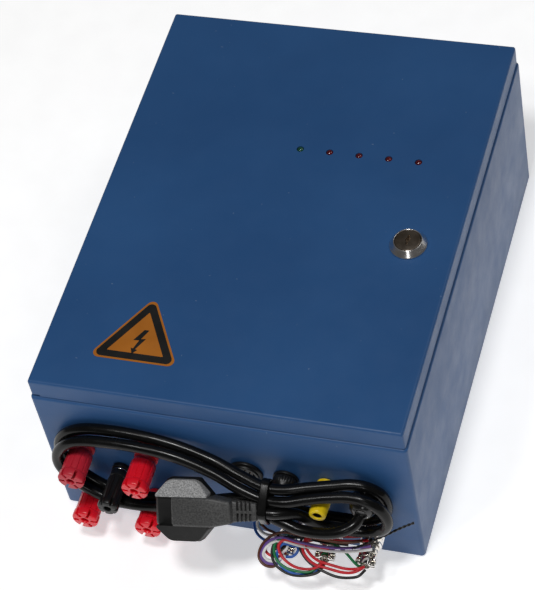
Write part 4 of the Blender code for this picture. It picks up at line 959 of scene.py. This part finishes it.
# colour, number of the bundle that the lead stands in for, or 0, and route
LEAD_ROUTES = [
    # plug 1: round the left of the loops and back along the panel
    ("white", 1, [(41.5, -197, 26.8), (37.3, -201.3, 26), (31.4, -202.5, 27.5), (28.5, -200.7, 29.5),
                  (29.3, -197.3, 32), (33.3, -193.4, 34.3), (39.9, -191.6, 35.2), (50.4, -192.6, 34.6),
                  (66.4, -193, 34), (82.6, -191.4, 34.2), (98.5, -187.6, 35.6)]),
    ("purple", 0, [(40.5, -197, 26.2), (37, -202.8, 24.8), (31, -204, 26), (27.2, -201.6, 28.2),
                   (27.6, -197.5, 31.4), (31.6, -192.3, 35), (39, -190.2, 36.8), (50, -191.4, 36.9),
                   (66.4, -191.9, 36.6), (82.6, -190.2, 36.6), (97.5, -186.4, 37.4)]),
    ("brown", 0, [(39.5, -197, 25.6), (36, -204.6, 24), (30, -205.6, 25.4), (25.6, -202, 27.6),
                  (25.8, -196.6, 31.4), (30.6, -190.8, 35.8), (38.6, -187.4, 38.6), (50, -187.6, 39.2),
                  (66, -188.2, 38.8), (80, -187.8, 38.6), (92, -184.6, 38.8)]),
    ("blue", 0, [(42, -197, 25.2), (46.8, -196, 25.8), (49.2, -191.8, 27.6), (46.4, -188, 29.6),
                 (41, -187.6, 30.6), (34.2, -189.6, 30.2), (27, -190.2, 30.4), (21.2, -187.6, 32.4),
                 (18.4, -183.4, 35.4), (19.2, -179.4, 38.4), (24.8, -177, 40.4), (36, -176.6, 41.4),
                 (52, -178, 42), (70, -180.6, 42.6), (83.6, -181.4, 42.8), (92.4, -177.8, 43)]),
    ("white", 0, [(40, -196.4, 28.4), (42.6, -193, 30.2), (42, -188.8, 32), (38, -186.6, 33),
                  (33, -187, 32.8), (27.4, -187.2, 32.8), (22.6, -185.4, 34), (20.2, -182.4, 36.4),
                  (21.6, -178.8, 39.4), (27, -176, 41.6), (37, -174.9, 43), (54, -176, 43.6),
                  (74, -178.6, 44), (84, -178.8, 44)]),
    ("brown", 0, [(38.6, -196.6, 27.6), (38.8, -191.6, 29.8), (36.6, -187.6, 32.4), (32.4, -185.8, 34.2),
                  (27, -184.6, 35.2), (23.2, -182, 37.2), (23.8, -178.4, 40.2), (29, -175.6, 42.4),
                  (38, -174.6, 44.4), (54, -176, 45.2), (70, -178, 45.4)]),
    ("red", 0, [(38.8, -197.2, 25.2), (33.4, -198.4, 25.8), (29, -196.8, 27.2), (27.8, -193.2, 28.6),
                (31, -190.4, 29.2), (36.4, -189.6, 28.6), (43, -189, 28.2), (50.6, -187.8, 29.4),
                (57, -186.2, 32.2), (66, -184.4, 34), (82, -183.6, 34.2), (94, -180.8, 34.6)]),
    # plug 2: the middle loop
    ("green", 2, [(66.5, -197, 26.4), (60.6, -204.6, 24.6), (51.9, -206, 25), (44.4, -205.4, 26),
                  (38.2, -202.4, 28), (35.2, -198, 30.8), (35.4, -193.2, 34), (39.4, -190.6, 36),
                  (46.6, -189.6, 34.4), (58, -190, 33.8), (70, -190.4, 33.6)]),
    ("red", 0, [(67.5, -197.2, 27.2), (65.1, -201, 26.6), (60, -203.2, 25.4), (51.5, -204.4, 26.8),
                (44.2, -202.4, 29.4), (39.6, -198.8, 31.8), (38, -194.8, 34.6), (40.8, -191.4, 36.4),
                (47.4, -191.4, 36), (60, -191.6, 35.4), (71, -191.8, 35)]),
    ("blue", 0, [(66.8, -197.4, 25.4), (62, -204.2, 22.8), (54.6, -207.2, 23.2), (46.6, -206.8, 24.2),
                 (40.4, -204.2, 26.2), (37.6, -201, 27.6), (37.4, -196.6, 31.2), (40.4, -193, 34),
                 (46.6, -192, 32.2), (57, -192.2, 31.6)]),
    ("black", 0, [(68.4, -197.2, 25.2), (65.6, -203.6, 24.2), (59, -207.2, 23.8), (50, -208.3, 23.2),
                  (42.4, -206.8, 23.8), (36.4, -203.6, 26), (33.6, -198.6, 29.2), (34.2, -192.6, 32.6),
                  (39.2, -188.6, 34.2), (50, -186.2, 33.8), (66, -186.4, 33.2), (82, -185.6, 33)]),
    # plug 3: the right-hand loop, back over the others
    ("red", 3, [(94, -197.2, 27.2), (89.4, -200.6, 26.4), (82.9, -201.8, 25.4), (70, -200.6, 25.6),
                (63.2, -200.4, 27.2), (57.6, -198.2, 29.6), (53.8, -194.3, 32.6), (53.9, -190.1, 36),
                (58, -186.2, 39.2), (68, -184, 40.8), (82, -182.8, 41.2), (100.6, -176.9, 40.8)]),
    ("red", 0, [(95, -196.8, 28), (91.4, -199, 28.4), (84, -199.8, 27.2), (71.4, -198.6, 27.4),
                (64.4, -198.2, 29.2), (59.4, -196.2, 31.6), (56, -193, 34.2), (56.2, -189.6, 37),
                (60.2, -186.4, 37.8), (70, -184.4, 38.8), (82, -183.2, 39.2), (100.8, -178.7, 39)]),
    ("black", 0, [(95.4, -197.2, 25.4), (92, -202.2, 24.6), (86.7, -203.8, 23.6), (78, -204.4, 23.2),
                  (67.9, -202.6, 24.8), (61, -200.6, 26.6), (55.4, -197.4, 29.2), (51.6, -193, 32.4),
                  (51.9, -188.4, 36), (56.4, -184.4, 39.8), (66, -182.2, 41.4), (80.4, -181, 41),
                  (99.3, -178.4, 37.2)]),
    ("green", 0, [(93.4, -197, 25.2), (88.6, -195.6, 28.6), (80, -190.4, 33.4), (68, -186, 36.2),
                  (56.9, -183.4, 38.2), (50.2, -181.4, 39.2), (41.2, -178.2, 40.4), (32.7, -177.2, 39.8),
                  (27.4, -178, 38.8), (23.6, -179.8, 37), (22.2, -182.4, 34.8)]),
]


def leads():
    """Each coloured lead runs from its cable plug, round a loop and back along the panel to its bare end."""
    mats = {
        name: plastic("wire_" + name, tuple(0.8 * v for v in colour), colour, 0.34, grain=600, bump=0.1)
        for name, colour in LEAD_COLOURS.items()
    }
    for number, (colour, bundle, route) in enumerate(LEAD_ROUTES, 1):
        cord(f"wire_{number:02d}_{colour}", route, 7, WIRE, mats[colour], "lead_pvc", 4,
             f"lead_bundle_{bundle}" if bundle else None, far_end="bare", stiffness="limp", lay="loose")
    twist()
    sleeve = [(1.5, -1.6), (2.6, -1.6), (2.9, -1.2), (2.9, 1.2), (2.6, 1.6), (1.5, 1.6)]
    make("lead_end_sleeve", turned(sleeve, 32, closed=True, round_by=0.2), NICKEL, at=(101.6, -179.4, 38.6),
         turn=(0, pi / 2, 0.35), slot="brass")


def twist():
    """The dark twisted tie round the leads, its ends sticking out to the right."""
    spine = [(86, -190, 36.5), (92, -188, 38.8), (99.5, -184, 41), (108, -179.4, 43.6), (116, -174.6, 46),
             (123.5, -170.8, 48)]
    centre = curve_through(spine, 16)
    bm = bmesh.new()
    for side in (0, pi):
        rings = []
        for k, place in enumerate(centre):
            ahead = (centre[min(k + 1, len(centre) - 1)] - centre[max(k - 1, 0)]).normalized()
            across = ahead.cross(Vector((0, 0, 1))).normalized()
            over = across.cross(ahead)
            turn = side + k * 0.55
            middle = place + (across * cos(turn) + over * sin(turn)) * 0.42
            rings.append([tuple(middle + across * x + over * y) for x, y in arc(0.5, 8)])
        add_rings(bm, rings)
    make("lead_twist_tie", bm, BLACK)


# ================================================================ inside the cabinet
ON_PLATE = 11.8
BOARD_FLOOR = ON_PLATE + 8
BOARD_TOP = BOARD_FLOOR + 1.6
OUTPUT_XS = (-78, -50)


def part(name, bm, mat, replaces=None, smooth=30, body="cabinet"):
    """A piece of the inside, whose mesh is already where it belongs."""
    return make(name, bm, mat, body, replaces=replaces, smooth=smooth)


def main_board():
    """Charging and timing board on its spacers, with what stands on it."""
    top = BOARD_TOP
    part("board", boxes(((-92, 16, BOARD_FLOOR), (18, 112, top)), bevel=0.2), BOARD, "main_board")
    spacers, heads = bmesh.new(), bmesh.new()
    for spot in ((-86, 22), (12, 22), (-86, 106), (12, 106)):
        spacer = [(0.02, ON_PLATE), (3, ON_PLATE), (3, BOARD_FLOOR), (0.02, BOARD_FLOOR)]
        add_turned(spacers, spacer, 6, spot, round_by=0.2)
        add_turned(heads, [(0.02, top), (2.9, top), (2.9, top + 1.2), (2.2, top + 2.1), (0.02, top + 2.2)],
                   32, spot)
    part("board_spacers", spacers, BRASS)
    part("board_screws", heads, ZINC_BRIGHT)
    board_terminals(top)
    board_blocks(top)
    board_cans(top)
    board_choke(top)
    board_resistors(top)


def board_terminals(top):
    strip = boxes(((-84, 90, top), (-40, 106, top + 9)), ((-84, 96, top + 8), (-40, 106, top + 14)),
                  bevel=0.6)
    part("board_terminals", strip, GREEN_BLOCK)
    screws = bmesh.new()
    for x in (-81 + 5.45 * k for k in range(8)):
        screw = [(0.02, top + 13.6), (1.7, top + 13.6), (1.7, top + 14.4), (0.02, top + 14.5)]
        add_turned(screws, screw, 20, (x, 101))
        add_box(screws, (x - 1.5, 89.2, top + 2), (x + 1.5, 91, top + 6), 0.2)
    part("board_terminal_screws", screws, ZINC_BRIGHT)


def board_blocks(top):
    """Relays, heat sink with its transistors, and the two chips with their legs."""
    relays, sink, power, chips, legs = (bmesh.new() for k in range(5))
    for x in (-30, -8):
        add_box(relays, (x, 86, top), (x + 18, 106, top + 20), 0.8, 3)
        add_box(relays, (x + 3, 89, top + 19.5), (x + 15, 103, top + 20.4), 0.3)
    part("board_relays", relays, RELAY_BLUE)
    add_box(sink, (-84, 26, top), (-68, 70, top + 6), 0.3)
    for x in (-84 + 2.4 * k for k in range(7)):
        add_box(sink, (x, 26, top + 5), (x + 1.2, 70, top + 32), 0.25)
    part("board_heat_sink", sink, ANODISED)
    for y in (32, 48, 60):
        add_box(power, (-67.8, y - 5, top + 4), (-63.6, y + 5, top + 18), 0.5)
    part("board_transistors", power, BLACK)
    add_box(chips, (-60, 60, top + 0.4), (-44, 74, top + 4.6), 0.4)
    add_box(chips, (-34, 62, top + 0.4), (-14, 69, top + 4), 0.4)
    part("board_chips", chips, BLACK)
    for k in range(7):
        for y in (59.4, 73.6):
            add_box(legs, (-58.6 + 2 * k, y, top), (-57.8 + 2 * k, y + 1, top + 2.4), 0.1)
        for y in (61.2, 68.8):
            add_box(legs, (-32.4 + 2.7 * k, y, top), (-31.6 + 2.7 * k, y + 1, top + 2.2), 0.1)
    part("board_chip_legs", legs, ZINC_BRIGHT)


def board_cans(top):
    cans, tops = bmesh.new(), bmesh.new()
    for x, y, r, tall in ((-50, 34, 6, 24), (-34, 34, 6, 24), (-50, 50, 6, 24), (-30, 50, 4, 13),
                          (-20, 56, 3, 9)):
        end = top + tall
        can = [(0.02, top), (r, top), (r, top + 1.6), (r - 0.4, top + 2.2), (r, top + 2.8), (r, end - 0.6),
               (r - 0.7, end), (r - 1.1, end - 0.3), (0.02, end - 0.3)]
        add_turned(cans, can, 40, (x, y))
        add_turned(tops, [(0.02, end - 0.4), (r - 1.2, end - 0.4), (r - 1.3, end - 0.1), (0.02, end - 0.1)],
                   40, (x, y))
    part("board_cans", cans, SLEEVE, smooth=50)
    part("board_can_tops", tops, ZINC_BRIGHT)


def board_choke(top):
    bobbin = boxes(((-20, 24, top), (6, 44, top + 4)), ((-20, 24, top + 20), (6, 44, top + 24)), bevel=0.6)
    part("board_choke_bobbin", bobbin, BLACK)
    rings = []
    for k in range(33):
        groove = 0.5 * (k % 2)
        turn = rounded_rectangle(22 - groove, 16 - groove, top + 3.8 + k * 0.5, 5, 5)
        rings.append([(x - 7, y + 34, z) for x, y, z in turn])
    part("board_choke_coil", skin(rings), COPPER, smooth=20)


def board_resistors(top):
    """Small lying resistors: a wire at each end and a body with thicker ends."""
    levels = [(0, 0.4), (0.4, 1.25), (1.4, 1.25), (1.8, 1.05), (4.8, 1.05), (5.2, 1.25), (6.2, 1.25),
              (6.6, 0.4)]
    bm = bmesh.new()
    for k in range(9):
        x, spot = -62 + (k % 5) * 9.5, (80 + (k // 5) * 5, top + 1.3)
        add_rings(bm, [[(x + along, y, z) for y, z in arc(radius, 12, spot)] for along, radius in levels])
    part("board_resistors", bm, RESISTOR, smooth=40)


def pulse_transformer():
    end = ON_PLATE + 56
    case = boxes(((-92, -78, ON_PLATE), (-36, -14, end - 1.6)), bevel=2, segments=4)
    part("pulse_case", case, BLACK, "pulse_transformer")
    pour = [(51, 59, end - 2), (51, 59, end - 0.5), (50, 58, end - 0.1), (46, 54, end - 0.4),
            (6, 8, end - 0.5)]
    rings = [rounded_rectangle(width, length, z, 3) for width, length, z in pour]
    part("pulse_resin", skin([[(x - 64, y - 46, z) for x, y, z in ring] for ring in rings]), RESIN)
    towers, studs = bmesh.new(), bmesh.new()
    base = ON_PLATE + 55
    tower = [(0.02, 0), (6, 0), (5.8, 1), (6.2, 2), (5.4, 3), (5.9, 4.2), (5.1, 5.2), (5.5, 6.4),
             (5.0, 7.4), (5.0, 9), (0.02, 9)]
    thread = [(2.0 - 0.18 * (k % 2), 9 + k * 0.45) for k in range(17)]
    stud = [(0.02, 8.8), (2, 8.8)] + thread + [(1.6, 17), (0.02, 17)]
    nut = [(2.1, 9.2), (3.9, 9.2), (3.9, 12.2), (2.1, 12.2)]
    for x in OUTPUT_XS:
        add_turned(towers, lifted(tower, base), 48, (x, -46))
        add_turned(studs, lifted(stud, base), 24, (x, -46))
        add_turned(studs, lifted(nut, base), 6, (x, -46), closed=True)
    part("pulse_towers", towers, RED)
    part("pulse_studs", studs, BRASS, smooth=25)


def lifted(profile, base):
    return [(radius, base + height) for radius, height in profile]


def mains_transformer():
    floor, end = ON_PLATE, ON_PLATE + 48
    rings = []
    for k in range(57):
        y, grow = 40 + 0.5 * k, 0.0 if k % 2 else 0.18
        low_x, high_x, low_z, high_z = 34 + grow, 92 - grow, floor + grow, end - grow
        rings.append([(low_x, y, low_z), (high_x, y, low_z), (high_x, y, high_z), (low_x, y, high_z)])
    part("mains_core", skin(rings), CORE, "mains_transformer", smooth=0)
    part("mains_winding", boxes(((43, 28, floor + 9), (83, 80, floor + 39)), bevel=5, segments=5), TAPE)
    part("mains_frame", boxes(((34.5, 22, floor), (91.5, 86, floor + 2)), bevel=0.4), ZINC_BRIGHT)
    bolts = bmesh.new()
    bolt = [(0.02, 1.9), (3.6, 1.9), (3.6, 2.5), (2.9, 2.5), (2.9, 4.6), (0.02, 4.8)]
    for spot in ((38.5, 27), (87.5, 27), (38.5, 81), (87.5, 81)):
        add_turned(bolts, lifted(bolt, floor), 6, spot)
    part("mains_bolts", bolts, BRASS, smooth=20)


def storage_capacitor():
    at = (-10, -30, 0)
    can = [(0.02, 0), (16, 0), (17.3, 1), (17.5, 3), (16.9, 4.5), (17.5, 6), (17.5, 66.6), (16.8, 67.8),
           (15.2, 68), (14.6, 67), (0.02, 67)]
    make("capacitor_can", turned(lifted(can, ON_PLATE), 96, round_by=0.4), SLEEVE, at=at,
         replaces="storage_capacitor")
    lid = [(0.02, 66.8), (14.4, 66.8), (14.2, 67.5), (0.02, 67.5)]
    make("capacitor_lid", turned(lifted(lid, ON_PLATE)), BLACK, at=at)
    lugs = bmesh.new()
    lug = [(0.02, 67.4), (3, 67.4), (3, 68.4), (1.8, 68.4), (1.8, 70), (0.02, 70.1)]
    for x in (-5, 5):
        add_turned(lugs, lifted(lug, ON_PLATE), 6, (x, 0))
    make("capacitor_lugs", lugs, ZINC_BRIGHT, at=at, smooth=20)


def backup_battery():
    x0, x1, y0, y1, top = -26.5, 78.5, -124, -59, ON_PLATE + 74
    case = boxes(((x0, y0, ON_PLATE), (x1, y1, top - 7)), bevel=2, segments=3)
    part("battery_case", case, CASE, "backup_battery")
    lid = boxes(((x0 + 0.3, y0 + 0.3, top - 7.4), (x1 - 0.3, y1 - 0.3, top)), bevel=1.6, segments=3)
    part("battery_lid", lid, BLACK)
    vents = bmesh.new()
    for x in (x0 + 14 + 14.5 * k for k in range(6)):
        add_box(vents, (x, y0 + 26, top - 0.5), (x + 10, y0 + 36, top + 0.12), 0.2)
    part("battery_vents", vents, DULL_BLACK)
    for name, x, mat in (("red", x0 + 12, RED), ("black", x1 - 12, BLACK)):
        part("battery_pad_" + name, boxes(((x - 6, y1 - 17, top - 0.3), (x + 6, y1 - 7, top + 0.25)),
                                          bevel=0.1), mat)
        tab = boxes(((x - 3, y1 - 12.5, top - 0.2), (x + 3, y1 - 11.5, top + 6)), bevel=0.2)
        part("battery_tab_" + name, tab, BRASS)


def led_board():
    """The door's indicator board with its resistors and plug header, on two studs."""
    top = DOOR_INNER - 8.5
    board = boxes(((-14, LED_Y - 9, top - 1.6), (96, LED_Y + 9, top)), bevel=0.15)
    holes, nuts, parts = bmesh.new(), bmesh.new(), bmesh.new()
    for x in BOARD_STUDS:
        add_turned(holes, [(1.8, top - 4), (1.8, top + 3)], 24, (x, LED_Y))
        nut = [(1.5, top - 4.2), (3.2, top - 4.2), (3.2, top - 1.7), (1.5, top - 1.7)]
        add_turned(nuts, nut, 6, (x, LED_Y), closed=True)
    for x in (4 + LED_APART * k for k in range(5)):
        add_box(parts, (x - 3, LED_Y - 6, top - 3), (x + 3, LED_Y - 4, top - 1.5), 0.6)
    header = boxes(((30, LED_Y + 1.5, top - 7), (52, LED_Y + 6.5, top - 1.5)), bevel=0.4)
    part("indicator_board", cut(board, holes), BOARD, "led_board", body="door")
    part("indicator_nuts", nuts, ZINC_BRIGHT, body="door", smooth=20)
    part("indicator_resistors", parts, RESISTOR, body="door")
    part("indicator_header", header, PALE, body="door")


def tamper_switch():
    x, y = 62, 140
    body = boxes(((x - 10, y - 6, 99), (x + 10, y + 6, 119)), bevel=0.8, segments=3)
    bore = bmesh.new()
    add_turned(bore, [(2.4, 103), (2.4, 121)], 32, (x, y))
    part("tamper_body", cut(body, bore), BLACK, "tamper_switch")
    rivets = bmesh.new()
    rivet = [(0.02, 113.9), (1.9, 113.9), (2.2, 114.4), (2.2, 115.8), (0.02, 115.8)]
    for side in (-1, 1):
        add_turned(rivets, rivet, 24, (x + side * 6, y + 13))
        add_box(rivets, (x + side * 5 - 1.2, y - 2.5, 95), (x + side * 5 + 1.2, y - 1.7, 99.2), 0.2)
    part("tamper_tab", boxes(((x - 10, y + 5, 115.7), (x + 10, y + 21, 118.7)), bevel=0.3), ZINC_BRIGHT)
    part("tamper_rivets", rivets, BRASS)


# name, material, diameter and route of each lead between two terminals
INNER_ROUTES = [
    ("high_out", RED, 3.2, [(-78, -46, 80), (-80, -60, 92), (-88, -90, 94), (-98, -125, 86),
                            (-98.5, -146, 76), (-98, -150, 72)]),
    ("high_back", RED, 3.2, [(-50, -46, 80), (-49, -62, 92), (-50, -92, 94), (-53, -125, 88),
                             (-54.5, -145, 77), (-54, -150, 72)]),
    ("earth", EARTH_GREEN, 2.6, [(-86, 87, 25), (-97, 76, 24), (-105, 40, 24), (-106, -40, 26),
                                 (-104, -100, 34), (-88, -138, 48), (-77, -148, 53), (-75, -150, 53)]),
    ("battery_plus", RED, 2.4, [(-14.5, -71, 91), (-15, -66, 98), (-22, -58, 96), (-27, -40, 80),
                                (-29, -12, 55), (-34, 8, 40), (-48, 14, 34), (-62, 24, 30), (-62, 60, 30),
                                (-64.6, 84, 27), (-64.6, 88.6, 25)]),
    ("battery_minus", BLACK, 2.4, [(66.5, -71, 91), (66, -63, 97), (52, -50, 90), (22, -40, 72),
                                   (16, -10, 50), (12, 6, 40), (-6, 12, 36), (-30, 18, 28), (-57, 44, 30),
                                   (-59, 82, 27), (-59.2, 88.6, 25)]),
    ("mains_in", BLACK, 5.0, [(94.5, -155, 71), (98, -146, 69), (107, -132, 60), (111, -100, 44),
                              (111, -40, 36), (108, 4, 34), (98, 24, 36), (84, 27.5, 38)]),
    ("secondary", PALE, 2.0, [(44, 27.8, 40), (36, 22, 44), (28, 30, 46), (25, 60, 44), (20, 84, 36),
                              (12, 88, 30), (8, 85.6, 26)]),
    ("capacitor", RED, 2.4, [(-15, -30, 83), (-16, -22, 91), (-26, -6, 86), (-40, 6, 64), (-58, 14, 46),
                             (-63, 22, 40), (-65.8, 28, 37)]),
]


def inside():
    main_board()
    pulse_transformer()
    mains_transformer()
    storage_capacitor()
    backup_battery()
    led_board()
    tamper_switch()
    for name, mat, diameter, route in INNER_ROUTES:
        cord("inner_" + name, route, 8, diameter, mat, "lead_pvc", 5, far_end="bare", stiffness="limp",
             lay="loose")


# ================================================================ the CAD solids that stay
def carried_over():
    kept = {
        "mounting_plate": ZINC, "battery_strap": ZINC, "hinge_pin_upper": ZINC, "hinge_pin_lower": ZINC,
        "lock_nut": ZINC, "lock_cam": ZINC, "cam_screw": ZINC, "tamper_plunger": RED, "door_gasket": RUBBER,
    }
    for name, mat in kept.items():
        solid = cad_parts[name]
        solid.data.materials.clear()
        solid.data.materials.append(mat)


def main():
    camera()
    studio()
    plug_pieces = mains_plug()
    wrap = tie()
    power_cord(plug_pieces + [wrap])
    leads()
    cabinet()
    door()
    label()
    indicators()
    lock()
    posts()
    shield()
    io_socket()
    fuse()
    gland()
    for number, spot in enumerate(LEAD_PLUGS, 1):
        lead_plug(number, spot)
    inside()
    carried_over()


main()
